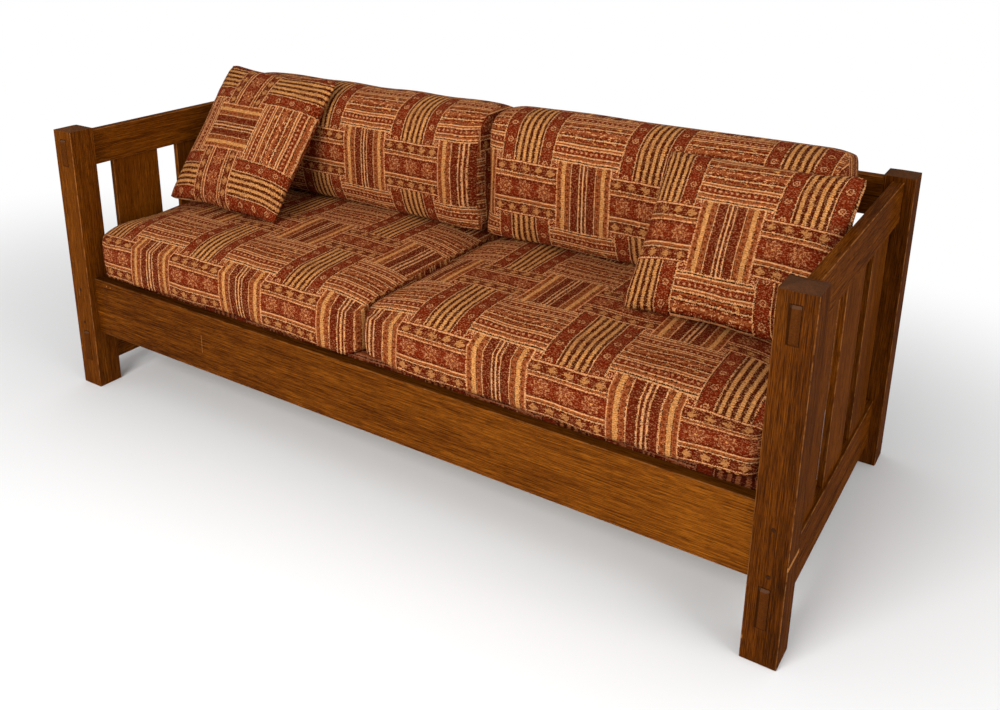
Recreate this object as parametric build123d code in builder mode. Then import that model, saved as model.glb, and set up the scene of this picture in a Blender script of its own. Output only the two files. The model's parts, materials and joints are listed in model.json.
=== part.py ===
"""Mission settle: an oak frame with slatted ends, a drop-in sprung seat, loose cushions.

Lengths are in millimetres. X runs along the settle, +Y goes from the front to the back and
+Z is up. The origin is on the floor, under the middle of the frame.
"""

import math
import os

from build123d import *

os.makedirs("parts", exist_ok=True)

# Overall frame
settle_length = 2134
settle_depth = 930

# Corner posts
post_width = 75
post_height = 790
post_cap_rise = 10
post_cap_point = 3
post_edge_round = 2.5
post_foot_chamfer = 2

# Rails that run the length of the settle
long_rail_thickness = 30
long_rail_set_back = 22
seat_rail_bottom = 175
seat_rail_height = 172
long_tenon_thickness = 12
long_tenon_shoulder = 15
seat_rail_tenon_length = 52
back_top_tenon_length = 22

# Rails that run from front to back
side_rail_thickness = 27
side_rail_set_back = 26
lower_rail_bottom = 61
lower_rail_height = 124
top_rail_height = 102
top_rail_drop = 12
rail_edge_round = 2

# Through tenons of the side rails, which stand proud of the posts
through_tenon_thickness = 21
through_tenon_proud = 6
through_tenon_bevel = 5
top_tenon_shoulder = 13
lower_tenon_shoulder_above = 8
lower_tenon_shoulder_below = 24

# Slats
slat_width = 160
slat_thickness = 15
slat_tongue = 12
slat_edge_round = 1
side_slat_count = 3
back_slat_count = 8

# Pegs that pin the seat rails' tenons
peg_diameter = 9.5
peg_length = 60
peg_proud = 0.5
peg_from_outer_side = 35
peg_above_rail_bottom = 30
peg_below_rail_top = 37

# Cleats that carry the seat, and their screws
cleat_width = 22
cleat_height = 35
cleat_end_gap = 40
cleat_screw_count = 7
cleat_screw_end = 60
screw_shank_diameter = 4
screw_head_diameter = 8
screw_length = 40
screw_head_angle = 90

# Drop-in seat
seat_height = 362
deck_side_gap = 3
deck_edge_round = 12
deck_cloth_thickness = 1.5
deck_band_return = 75
pad_thickness = 36
webbing_thickness = 2.5
webbing_width = 60
webbing_count = 14
webbing_end_gap = 12
seat_bar_thickness = 28
seat_bar_width = 70
cross_bar_width = 60
cross_bar_count = 5
cross_bar_tenon_length = 20
cross_bar_tenon_thickness = 10

# Seat cushions
seat_cushion_side_gap = 6
seat_cushion_middle_gap = 1
seat_cushion_overhang = 5
seat_cushion_back_gap = 6
seat_cushion_boxing = 130
seat_cushion_crown = 28
seat_cushion_crown_run = 130
seat_cushion_bulge = 6
seat_cushion_draw = 6
seat_cushion_corner = 45

# Back cushions
back_cushion_side_gap = 37
back_cushion_height = 352
back_cushion_boxing = 254
back_cushion_crown_front = 38
back_cushion_crown_rear = 30
back_cushion_crown_run = 110
back_cushion_bulge = 12
back_cushion_draw = 8
back_cushion_corner = 50
back_cushion_rail_gap = 2

# Loose pillows
pillow_width = 457
pillow_draw = 16
pillow_corner = 14
left_pillow_height = 457
left_pillow_thickness = 124
left_pillow_side_gap = 40.5
left_pillow_lean_angle = 34
left_pillow_turn_angle = 4
left_pillow_over = 28
right_pillow_height = 410
right_pillow_thickness = 130
right_pillow_side_gap = 10.5
right_pillow_lean_angle = 28
right_pillow_turn_angle = 0
right_pillow_over = 8

# Clearances
joint_clearance = 0.1
rest_gap = 0.3
pillow_rest_gap = 1
overrun = 5

# Rise of a cushion's panel above its seam, and how far in from the seam it is reached
crown_shares = ((0.0, 0.0), (0.75, 0.5), (1.0, 1.0))
# Half thickness of a pillow, and how far in from its edge it is reached
pillow_shares = ((0.0, 0.0), (0.28, 0.05), (0.7, 0.36), (0.92, 0.7), (1.0, 1.0))
pillow_crown_run_share = 0.42
# How much of a pillow's draw is gone where its crown levels off
pillow_draw_fade_share = 0.9

# Places that follow from the sizes above
half_length = settle_length / 2
half_depth = settle_depth / 2
post_inner_x = half_length - post_width
post_inner_y = half_depth - post_width
post_middle_x = half_length - post_width / 2
post_middle_y = half_depth - post_width / 2
long_rail_y = half_depth - long_rail_set_back - long_rail_thickness / 2
long_rail_inner_y = long_rail_y - long_rail_thickness / 2
side_rail_x = half_length - side_rail_set_back - side_rail_thickness / 2
side_rail_inner_x = side_rail_x - side_rail_thickness / 2
seat_rail_top = seat_rail_bottom + seat_rail_height
lower_rail_top = lower_rail_bottom + lower_rail_height
top_rail_top = post_height - top_rail_drop
top_rail_bottom = top_rail_top - top_rail_height
top_tenon_span = (top_rail_bottom + top_tenon_shoulder, top_rail_top - top_tenon_shoulder)
lower_tenon_span = (
    lower_rail_bottom + lower_tenon_shoulder_below,
    lower_rail_top - lower_tenon_shoulder_above,
)
peg_x = half_length - peg_from_outer_side
peg_heights = (seat_rail_bottom + peg_above_rail_bottom, seat_rail_top - peg_below_rail_top)

pad_top = seat_height - deck_cloth_thickness
webbing_top = pad_top - pad_thickness
seat_bar_top = webbing_top - webbing_thickness
seat_bar_bottom = seat_bar_top - seat_bar_thickness
cleat_top = seat_bar_bottom - rest_gap
deck_half_length = post_inner_x - deck_side_gap
deck_half_depth = long_rail_inner_y - deck_side_gap
core_half_length = deck_half_length - deck_cloth_thickness
core_half_depth = deck_half_depth - deck_cloth_thickness

cleat_half_length = post_inner_x - cleat_end_gap
cleat_middle = cleat_top - cleat_height / 2
cleat_screw_pitch = 2 * (cleat_half_length - cleat_screw_end) / (cleat_screw_count - 1)
cleat_screw_places = [
    -cleat_half_length + cleat_screw_end + number * cleat_screw_pitch
    for number in range(cleat_screw_count)
]

side_slat_gap = (2 * post_inner_y - side_slat_count * slat_width) / (side_slat_count + 1)
back_slat_gap = (2 * post_inner_x - back_slat_count * slat_width) / (back_slat_count + 1)
side_slat_middles = [
    -post_inner_y + side_slat_gap + slat_width / 2 + number * (slat_width + side_slat_gap)
    for number in range(side_slat_count)
]
back_slat_middles = [
    -post_inner_x + back_slat_gap + slat_width / 2 + number * (slat_width + back_slat_gap)
    for number in range(back_slat_count)
]


def save(piece, name):
    """Label a finished piece and write it to its own file."""
    piece.label = name
    export_step(piece, f"parts/{name}.step")


def make_post(side, end):
    """Corner post with a low pyramid cap, mortises for its rails and holes for its pegs."""
    with BuildPart() as post:
        with BuildSketch(Plane.XY) as foot:
            with Locations((side * post_middle_x, end * post_middle_y)):
                Rectangle(post_width, post_width)
            fillet(foot.vertices(), post_edge_round)
        extrude(amount=post_height)
        chamfer(post.faces().sort_by(Axis.Z)[0].edges(), post_foot_chamfer)
        with BuildSketch(Plane.XY.offset(post_height)) as shoulder:
            with Locations((side * post_middle_x, end * post_middle_y)):
                Rectangle(post_width, post_width)
            fillet(shoulder.vertices(), post_edge_round)
        with BuildSketch(Plane.XY.offset(post_height + post_cap_rise)) as point:
            with Locations((side * post_middle_x, end * post_middle_y)):
                Rectangle(post_cap_point, post_cap_point)
            fillet(point.vertices(), post_cap_point / 4)
        loft()
        # Through mortises for the two side rails
        with BuildSketch(Plane.XZ):
            for low, high in (top_tenon_span, lower_tenon_span):
                with Locations((side * side_rail_x, (low + high) / 2)):
                    Rectangle(
                        through_tenon_thickness + 2 * joint_clearance,
                        high - low + 2 * joint_clearance,
                    )
        extrude(amount=half_depth + overrun, both=True, mode=Mode.SUBTRACT)
        # Blind mortises for the rails that run the length, cut from the inner face
        for low, high, length in long_tenons(end):
            inner_face = Plane(
                origin=(side * post_inner_x, 0, 0), x_dir=(0, 1, 0), z_dir=(side, 0, 0)
            )
            rise = side * (low + high) / 2
            with BuildSketch(inner_face):
                with Locations((end * long_rail_y, rise)):
                    Rectangle(
                        long_tenon_thickness + 2 * joint_clearance,
                        high - low + 2 * joint_clearance,
                    )
            extrude(amount=length + joint_clearance, mode=Mode.SUBTRACT)
        # Peg holes, bored from the outer face of the front or the back
        outer_face = Plane(
            origin=(0, end * half_depth, 0), x_dir=(1, 0, 0), z_dir=(0, -end, 0)
        )
        with BuildSketch(outer_face):
            for height in peg_heights:
                with Locations((side * peg_x, end * height)):
                    Circle(peg_diameter / 2 + joint_clearance)
        extrude(amount=peg_length - peg_proud + joint_clearance, mode=Mode.SUBTRACT)
    return post.part


def long_tenons(end):
    """Height span and length of the blind tenons that enter a front or a rear post."""
    seat = (
        seat_rail_bottom + long_tenon_shoulder,
        seat_rail_top - long_tenon_shoulder,
        seat_rail_tenon_length,
    )
    top = (
        top_rail_bottom + long_tenon_shoulder,
        top_rail_top - long_tenon_shoulder,
        back_top_tenon_length,
    )
    return (seat,) if end < 0 else (seat, top)



def make_side_rail(side, bottom, height, tenon_span, slat_face, slat_direction):
    """Front-to-back rail with a bevelled through tenon at each end and slat mortises."""
    tenon_low, tenon_high = tenon_span
    with BuildPart() as rail:
        with BuildSketch(Plane.XZ) as section:
            with Locations((side * side_rail_x, bottom + height / 2)):
                Rectangle(side_rail_thickness, height)
            fillet(section.vertices(), rail_edge_round)
        extrude(amount=post_inner_y, both=True)
        with BuildSketch(Plane.XZ):
            with Locations((side * side_rail_x, (tenon_low + tenon_high) / 2)):
                Rectangle(through_tenon_thickness, tenon_high - tenon_low)
        extrude(amount=half_depth + through_tenon_proud, both=True)
        tenon_ends = rail.faces().filter_by(Axis.Y).sort_by(Axis.Y)
        chamfer(tenon_ends[0].edges() + tenon_ends[-1].edges(), through_tenon_bevel)
        with BuildSketch(Plane.XY.offset(slat_face)):
            for middle in side_slat_middles:
                with Locations((side * side_rail_x, middle)):
                    Rectangle(
                        slat_thickness + 2 * joint_clearance, slat_width + 2 * joint_clearance
                    )
        extrude(amount=slat_direction * (slat_tongue + joint_clearance), mode=Mode.SUBTRACT)
    return rail.part


def make_long_rail(end, bottom, height, tenon_length, pegged, slat_edges):
    """Rail along the front or the back, with a blind tenon at each end."""
    with BuildPart() as rail:
        with BuildSketch(Plane.YZ) as section:
            with Locations((end * long_rail_y, bottom + height / 2)):
                Rectangle(long_rail_thickness, height)
            fillet(section.vertices(), rail_edge_round)
        extrude(amount=post_inner_x, both=True)
        with BuildSketch(Plane.YZ):
            with Locations((end * long_rail_y, bottom + height / 2)):
                Rectangle(long_tenon_thickness, height - 2 * long_tenon_shoulder)
        extrude(amount=post_inner_x + tenon_length, both=True)
        if pegged:
            with BuildSketch(Plane.XZ):
                for side in (-1, 1):
                    for peg_height in peg_heights:
                        with Locations((side * peg_x, peg_height)):
                            Circle(peg_diameter / 2 + joint_clearance)
            extrude(amount=half_depth, both=True, mode=Mode.SUBTRACT)
        for face, direction in slat_edges:
            with BuildSketch(Plane.XY.offset(face)):
                for middle in back_slat_middles:
                    with Locations((middle, end * long_rail_y)):
                        Rectangle(
                            slat_width + 2 * joint_clearance,
                            slat_thickness + 2 * joint_clearance,
                        )
            extrude(amount=direction * (slat_tongue + joint_clearance), mode=Mode.SUBTRACT)
        if pegged:
            # Pilot holes for the screws of the cleat on the inner face
            inner_face = Plane(
                origin=(0, end * long_rail_inner_y, 0), x_dir=(1, 0, 0), z_dir=(0, end, 0)
            )
            with BuildSketch(inner_face):
                for place in cleat_screw_places:
                    with Locations((place, -end * cleat_middle)):
                        Circle(screw_shank_diameter / 2 + joint_clearance)
            extrude(
                amount=screw_length - cleat_width + joint_clearance, mode=Mode.SUBTRACT
            )
    return rail.part


def make_slat(across_x, middle_x, middle_y, low, high):
    """Flat slat that stands between a lower and an upper rail, tongued into both."""
    with BuildPart() as slat:
        with BuildSketch(Plane.XY.offset(low - slat_tongue)) as section:
            with Locations((middle_x, middle_y)):
                if across_x:
                    Rectangle(slat_width, slat_thickness)
                else:
                    Rectangle(slat_thickness, slat_width)
            fillet(section.vertices(), slat_edge_round)
        extrude(amount=high - low + 2 * slat_tongue)
    return slat.part


# Corner posts
for side, side_name in ((-1, "left"), (1, "right")):
    for end, end_name in ((-1, "front"), (1, "rear")):
        save(make_post(side, end), f"post_{end_name}_{side_name}")

# Side rails and their slats
for side, side_name in ((-1, "left"), (1, "right")):
    save(
        make_side_rail(
            side, top_rail_bottom, top_rail_height, top_tenon_span, top_rail_bottom, 1
        ),
        f"side_top_rail_{side_name}",
    )
    save(
        make_side_rail(
            side, lower_rail_bottom, lower_rail_height, lower_tenon_span, lower_rail_top, -1
        ),
        f"side_lower_rail_{side_name}",
    )
    for number, middle in enumerate(side_slat_middles, 1):
        slat = make_slat(False, side * side_rail_x, middle, lower_rail_top, top_rail_bottom)
        save(slat, f"side_slat_{side_name}_{number}")

# Seat rails, back top rail and back slats
save(
    make_long_rail(-1, seat_rail_bottom, seat_rail_height, seat_rail_tenon_length, True, ()),
    "front_seat_rail",
)
save(
    make_long_rail(
        1, seat_rail_bottom, seat_rail_height, seat_rail_tenon_length, True,
        ((seat_rail_top, -1),),
    ),
    "back_seat_rail",
)
save(
    make_long_rail(
        1, top_rail_bottom, top_rail_height, back_top_tenon_length, False,
        ((top_rail_bottom, 1),),
    ),
    "back_top_rail",
)
for number, middle in enumerate(back_slat_middles, 1):
    slat = make_slat(True, middle, long_rail_y, seat_rail_top, top_rail_bottom)
    save(slat, f"back_slat_{number}")

# Pegs through the seat rails' tenons
with BuildPart() as tenon_pegs:
    for end in (-1, 1):
        peg_face = Plane(
            origin=(0, end * (half_depth + peg_proud), 0), x_dir=(1, 0, 0), z_dir=(0, -end, 0)
        )
        with BuildSketch(peg_face):
            for side in (-1, 1):
                for height in peg_heights:
                    with Locations((side * peg_x, end * height)):
                        Circle(peg_diameter / 2)
        extrude(amount=peg_length)
save(tenon_pegs.part, "tenon_pegs")

# Cleats on the inner faces of the seat rails, with countersunk screws
for end, end_name in ((-1, "front"), (1, "rear")):
    cleat_face = Plane(
        origin=(0, end * (long_rail_inner_y - cleat_width), 0), x_dir=(1, 0, 0),
        z_dir=(0, end, 0),
    )
    with BuildPart() as cleat:
        with BuildSketch(cleat_face):
            with Locations((0, -end * cleat_middle)):
                Rectangle(2 * cleat_half_length, cleat_height)
        extrude(amount=cleat_width)
        for place in cleat_screw_places:
            bore = Plane(
                origin=(place, end * (long_rail_inner_y - cleat_width), cleat_middle),
                x_dir=(1, 0, 0), z_dir=(0, -end, 0),
            )
            with Locations(bore):
                CounterSinkHole(
                    radius=screw_shank_diameter / 2 + joint_clearance,
                    counter_sink_radius=screw_head_diameter / 2 + joint_clearance,
                    depth=cleat_width,
                    counter_sink_angle=screw_head_angle,
                )
    save(cleat.part, f"seat_cleat_{end_name}")

with BuildPart() as cleat_screws:
    for end in (-1, 1):
        for place in cleat_screw_places:
            axis_plane = Plane(
                origin=(place, end * (long_rail_inner_y - cleat_width), cleat_middle),
                x_dir=(1, 0, 0), z_dir=(0, 0, 1),
            )
            head_run = (screw_head_diameter - screw_shank_diameter) / 2
            with BuildSketch(axis_plane):
                with BuildLine():
                    Polyline(
                        (0, 0),
                        (screw_head_diameter / 2, 0),
                        (screw_shank_diameter / 2, end * head_run),
                        (screw_shank_diameter / 2, end * (screw_length - head_run)),
                        (0, end * screw_length),
                        close=True,
                    )
                make_face()
            revolve(axis=Axis(axis_plane.origin, (0, 1, 0)))
save(cleat_screws.part, "cleat_screws")

# Drop-in seat frame: two long bars and the cross bars tenoned between them
seat_bar_middle = (seat_bar_top + seat_bar_bottom) / 2
seat_bar_y = core_half_depth - seat_bar_width / 2
seat_bar_inner_y = core_half_depth - seat_bar_width
cross_bar_pitch = 2 * (core_half_length - cross_bar_width / 2) / (cross_bar_count - 1)
cross_bar_places = [
    -core_half_length + cross_bar_width / 2 + number * cross_bar_pitch
    for number in range(cross_bar_count)
]
for end, end_name in ((-1, "front"), (1, "rear")):
    with BuildPart() as long_bar:
        with BuildSketch(Plane.XY.offset(seat_bar_bottom)):
            with Locations((0, end * seat_bar_y)):
                Rectangle(2 * core_half_length, seat_bar_width)
        extrude(amount=seat_bar_thickness)
        with BuildSketch(Plane.XY.offset(seat_bar_middle)):
            for place in cross_bar_places:
                with Locations((place, end * seat_bar_inner_y)):
                    Rectangle(
                        cross_bar_width - 2 * cross_bar_tenon_thickness + 2 * joint_clearance,
                        2 * (cross_bar_tenon_length + joint_clearance),
                    )
        extrude(
            amount=cross_bar_tenon_thickness / 2 + joint_clearance,
            both=True, mode=Mode.SUBTRACT,
        )
    save(long_bar.part, f"seat_frame_{end_name}_bar")

for number, place in enumerate(cross_bar_places, 1):
    with BuildPart() as cross_bar:
        with BuildSketch(Plane.XY.offset(seat_bar_bottom)):
            with Locations((place, 0)):
                Rectangle(cross_bar_width, 2 * seat_bar_inner_y)
        extrude(amount=seat_bar_thickness)
        with BuildSketch(Plane.XY.offset(seat_bar_middle)):
            with Locations((place, 0)):
                Rectangle(
                    cross_bar_width - 2 * cross_bar_tenon_thickness,
                    2 * (seat_bar_inner_y + cross_bar_tenon_length),
                )
        extrude(amount=cross_bar_tenon_thickness / 2, both=True)
    save(cross_bar.part, f"seat_frame_cross_bar_{number}")

# Webbing straps from the front bar to the rear bar
webbing_pitch = 2 * (core_half_length - webbing_width) / (webbing_count - 1)
with BuildPart() as webbing_straps:
    with BuildSketch(Plane.XY.offset(seat_bar_top)):
        for number in range(webbing_count):
            with Locations((-core_half_length + webbing_width + number * webbing_pitch, 0)):
                Rectangle(webbing_width, 2 * (core_half_depth - webbing_end_gap))
    extrude(amount=webbing_thickness)
save(webbing_straps.part, "webbing_straps")

# Pad over the webbing
with BuildPart() as deck_pad:
    with BuildSketch(Plane.XY.offset(webbing_top)):
        Rectangle(2 * core_half_length, 2 * core_half_depth)
    extrude(amount=pad_thickness)
    fillet(
        deck_pad.faces().sort_by(Axis.Z)[-1].edges(), deck_edge_round - deck_cloth_thickness
    )
save(deck_pad.part, "deck_pad")

# Cloth over the pad and down the bars: plain decking behind, a facing band in front
band_edge = Plane(
    origin=(0, -deck_half_depth + deck_band_return, 0), x_dir=(1, 0, 0), z_dir=(0, -1, 0)
)
for name, kept in (("deck_front_band", Keep.TOP), ("deck_cloth", Keep.BOTTOM)):
    with BuildPart() as cloth:
        with BuildSketch(Plane.XY.offset(seat_bar_bottom)):
            Rectangle(2 * deck_half_length, 2 * deck_half_depth)
        extrude(amount=seat_height - seat_bar_bottom)
        fillet(cloth.faces().sort_by(Axis.Z)[-1].edges(), deck_edge_round)
        offset(
            amount=-deck_cloth_thickness,
            openings=cloth.faces().sort_by(Axis.Z)[0],
        )
        split(bisect_by=band_edge, keep=kept)
    save(cloth.part, name)


def cushion_section(plane, low_x, high_x, low_y, high_y, draw, low_draw, corner):
    """Outline of a stuffed cover: shallow arcs drawn in between the rounded corners."""
    middle_x = (low_x + high_x) / 2
    middle_y = (low_y + high_y) / 2
    with BuildSketch(plane) as outline:
        with BuildLine():
            if low_draw:
                ThreePointArc((low_x, low_y), (middle_x, low_y + low_draw), (high_x, low_y))
            else:
                Line((low_x, low_y), (high_x, low_y))
            ThreePointArc((high_x, low_y), (high_x - draw, middle_y), (high_x, high_y))
            ThreePointArc((high_x, high_y), (middle_x, high_y - draw), (low_x, high_y))
            ThreePointArc((low_x, high_y), (low_x + draw, middle_y), (low_x, low_y))
        make_face()
        fillet(outline.vertices(), corner)
    return outline.sketch.face()


# Seat cushions: boxed sides, flat underneath and crowned on top
seat_cushion_bottom = seat_height + rest_gap
seat_cushion_seam = seat_cushion_bottom + seat_cushion_boxing
seat_cushion_top = seat_cushion_seam + seat_cushion_crown
seat_cushion_outer_x = post_inner_x - seat_cushion_side_gap - seat_cushion_bulge
seat_cushion_inner_x = seat_cushion_middle_gap + seat_cushion_bulge
seat_cushion_front_y = -long_rail_inner_y - seat_cushion_overhang
seat_cushion_rear_y = long_rail_inner_y - seat_cushion_back_gap - seat_cushion_bulge


def seat_cushion_section(side, height, inset):
    """Outline of a seat cushion at one height, drawn in from its seam by an inset."""
    reach = (side * (seat_cushion_inner_x + inset), side * (seat_cushion_outer_x - inset))
    return cushion_section(
        Plane.XY.offset(height),
        min(reach),
        max(reach),
        seat_cushion_front_y + inset,
        seat_cushion_rear_y - inset,
        seat_cushion_draw,
        seat_cushion_draw,
        seat_cushion_corner,
    )


for side, side_name in ((-1, "left"), (1, "right")):
    seat_cushion_middle = (seat_cushion_bottom + seat_cushion_seam) / 2
    with BuildPart() as seat_cushion:
        loft([
            seat_cushion_section(side, seat_cushion_bottom, 0),
            seat_cushion_section(side, seat_cushion_middle, -seat_cushion_bulge),
            seat_cushion_section(side, seat_cushion_seam, 0),
        ])
        loft([
            seat_cushion_section(
                side,
                seat_cushion_seam + rise_share * seat_cushion_crown,
                run_share * seat_cushion_crown_run,
            )
            for rise_share, run_share in crown_shares
        ])
    save(seat_cushion.part, f"seat_cushion_{side_name}")

# Back cushions: boxed all round, crowned in front and behind, flat where they stand
back_cushion_rear_y = long_rail_inner_y - back_cushion_rail_gap
back_cushion_rear_seam = back_cushion_rear_y - back_cushion_crown_rear
back_cushion_front_seam = back_cushion_rear_seam - back_cushion_boxing
back_cushion_front_y = back_cushion_front_seam - back_cushion_crown_front
back_cushion_bottom = seat_cushion_top + rest_gap
back_cushion_inner_x = seat_cushion_middle_gap + back_cushion_bulge
back_cushion_outer_x = post_inner_x - back_cushion_side_gap - back_cushion_bulge


def back_cushion_section(side, depth, inset):
    """Outline of a back cushion at one depth, drawn in from its seam by an inset."""
    reach = (side * (back_cushion_inner_x + inset), side * (back_cushion_outer_x - inset))
    return cushion_section(
        Plane(origin=(0, depth, 0), x_dir=(1, 0, 0), z_dir=(0, -1, 0)),
        min(reach),
        max(reach),
        back_cushion_bottom + max(inset, 0),
        back_cushion_bottom + back_cushion_height - inset,
        back_cushion_draw,
        0,
        back_cushion_corner,
    )


for side, side_name in ((-1, "left"), (1, "right")):
    back_cushion_middle = (back_cushion_rear_seam + back_cushion_front_seam) / 2
    with BuildPart() as back_cushion:
        loft([
            back_cushion_section(side, back_cushion_rear_seam, 0),
            back_cushion_section(side, back_cushion_middle, -back_cushion_bulge),
            back_cushion_section(side, back_cushion_front_seam, 0),
        ])
        for seam, crown in (
            (back_cushion_front_seam, -back_cushion_crown_front),
            (back_cushion_rear_seam, back_cushion_crown_rear),
        ):
            loft([
                back_cushion_section(
                    side, seam + rise_share * crown, run_share * back_cushion_crown_run
                )
                for rise_share, run_share in crown_shares
            ])
    save(back_cushion.part, f"back_cushion_{side_name}")


def pillow_crown_run(height):
    """How far in from its edges a pillow's crown levels off."""
    return pillow_crown_run_share * min(height, pillow_width)


def pillow_plane(side, side_gap, height, thickness, lean, yaw, over):
    """Middle plane of a pillow that stands on a seat cushion and leans on a back cushion.

    Its upper edge reaches over the rounded top of the back cushion by the last value.
    """
    sine = math.sin(math.radians(lean))
    cosine = math.cos(math.radians(lean))
    turn = math.radians(yaw)
    levels = [
        (run_share * pillow_crown_run(height), rise_share * thickness / 2)
        for rise_share, run_share in pillow_shares
    ]
    # The sides run into a corner at a slant, so its rounding stops short of the corner point
    slant = 2 * math.atan(2 * pillow_draw / pillow_width)
    diagonal = math.pi / 4
    blunting = pillow_corner * (math.sin(diagonal) / math.sin(diagonal - slant) - 1)
    dip = max(rise * sine - (run + blunting) * cosine for run, rise in levels)
    reach = max(
        ((height / 2 - run) * sine + rise * cosine) * math.cos(turn)
        + (pillow_width / 2 - run) * math.sin(abs(turn))
        for run, rise in levels
    )
    return Plane(
        origin=(
            side * (side_rail_inner_x - side_gap - pillow_width / 2),
            back_cushion_front_y + over - reach,
            seat_cushion_top + pillow_rest_gap + height / 2 * cosine + dip,
        ),
        x_dir=(math.cos(turn), math.sin(turn), 0),
        z_dir=(math.sin(turn) * cosine, -math.cos(turn) * cosine, sine),
    )


def make_pillow(side, side_gap, height, thickness, lean, yaw, over):
    """Knife-edged pillow: four drawn-in sides that rise to a crown in front and behind."""
    plane = pillow_plane(side, side_gap, height, thickness, lean, yaw, over)
    run = pillow_crown_run(height)
    with BuildPart() as pillow:
        for face in (-1, 1):
            sections = []
            for rise_share, run_share in pillow_shares:
                inset = run_share * run
                draw = pillow_draw * (1 - pillow_draw_fade_share * run_share)
                sections.append(
                    cushion_section(
                        plane.offset(face * rise_share * thickness / 2),
                        inset - pillow_width / 2,
                        pillow_width / 2 - inset,
                        inset - height / 2,
                        height / 2 - inset,
                        draw,
                        draw,
                        pillow_corner * (1 + run_share),
                    )
                )
            loft(sections)
    return pillow.part


save(
    make_pillow(
        -1, left_pillow_side_gap, left_pillow_height, left_pillow_thickness,
        left_pillow_lean_angle, left_pillow_turn_angle, left_pillow_over,
    ),
    "pillow_left",
)
save(
    make_pillow(
        1, right_pillow_side_gap, right_pillow_height, right_pillow_thickness,
        right_pillow_lean_angle, right_pillow_turn_angle, right_pillow_over,
    ),
    "pillow_right",
)
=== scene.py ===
"""Looks of the mission settle: fumed oak frame, drop-in seat, box cushions and loose pillows.

Lengths are in metres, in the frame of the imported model: X runs along the settle, +Y goes from
the front to the back and +Z is up.
"""

import json
import logging
import math
from collections.abc import Iterator, Sequence
from dataclasses import dataclass, field, replace
from enum import Enum
from typing import Any

import bpy
import numpy as np
from mathutils import Matrix, Vector
from mathutils.bvhtree import BVHTree
from mathutils.kdtree import KDTree

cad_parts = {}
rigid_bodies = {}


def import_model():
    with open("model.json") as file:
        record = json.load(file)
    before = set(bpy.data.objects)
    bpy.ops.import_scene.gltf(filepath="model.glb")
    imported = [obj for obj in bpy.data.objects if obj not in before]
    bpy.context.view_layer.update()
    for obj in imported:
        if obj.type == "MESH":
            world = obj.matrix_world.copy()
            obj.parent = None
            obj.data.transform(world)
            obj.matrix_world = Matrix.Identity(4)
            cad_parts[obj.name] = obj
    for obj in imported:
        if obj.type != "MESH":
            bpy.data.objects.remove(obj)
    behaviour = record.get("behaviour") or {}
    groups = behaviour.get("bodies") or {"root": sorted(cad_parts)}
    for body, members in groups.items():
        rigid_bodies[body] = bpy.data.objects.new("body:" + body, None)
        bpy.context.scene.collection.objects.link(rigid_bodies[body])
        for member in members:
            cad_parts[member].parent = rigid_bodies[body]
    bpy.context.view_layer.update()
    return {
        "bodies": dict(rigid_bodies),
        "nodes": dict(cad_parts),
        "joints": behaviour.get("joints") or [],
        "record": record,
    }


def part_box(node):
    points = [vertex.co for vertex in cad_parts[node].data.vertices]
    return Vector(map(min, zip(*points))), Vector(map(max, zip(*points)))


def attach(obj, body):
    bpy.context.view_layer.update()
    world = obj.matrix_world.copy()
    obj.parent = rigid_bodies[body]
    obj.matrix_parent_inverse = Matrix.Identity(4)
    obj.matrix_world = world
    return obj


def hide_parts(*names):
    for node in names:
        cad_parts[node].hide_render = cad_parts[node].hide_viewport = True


LOG = logging.getLogger("settle")
CLOTH_MAP = "cloth"
SEAT_BODY = "drop_in_seat"
SIDES = (("left", -1), ("right", 1))
WHITE = (1.0, 1.0, 1.0)
TINY = 1e-9
Array = np.ndarray
Colour = tuple[float, float, float]
Triple = tuple[float, float, float]
Outline = tuple[tuple[float, float], ...]


def srgb(red: int, green: int, blue: int) -> Colour:
    """Linear colour of one given as it shows on a screen, 0 to 255."""
    shares = (red / 255, green / 255, blue / 255)
    return tuple(v / 12.92 if v <= 0.04045 else ((v + 0.055) / 1.055) ** 2.4 for v in shares)


def link(made: bpy.types.Object) -> bpy.types.Object:
    """Put an object in the scene."""
    bpy.context.scene.collection.objects.link(made)
    return made


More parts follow.
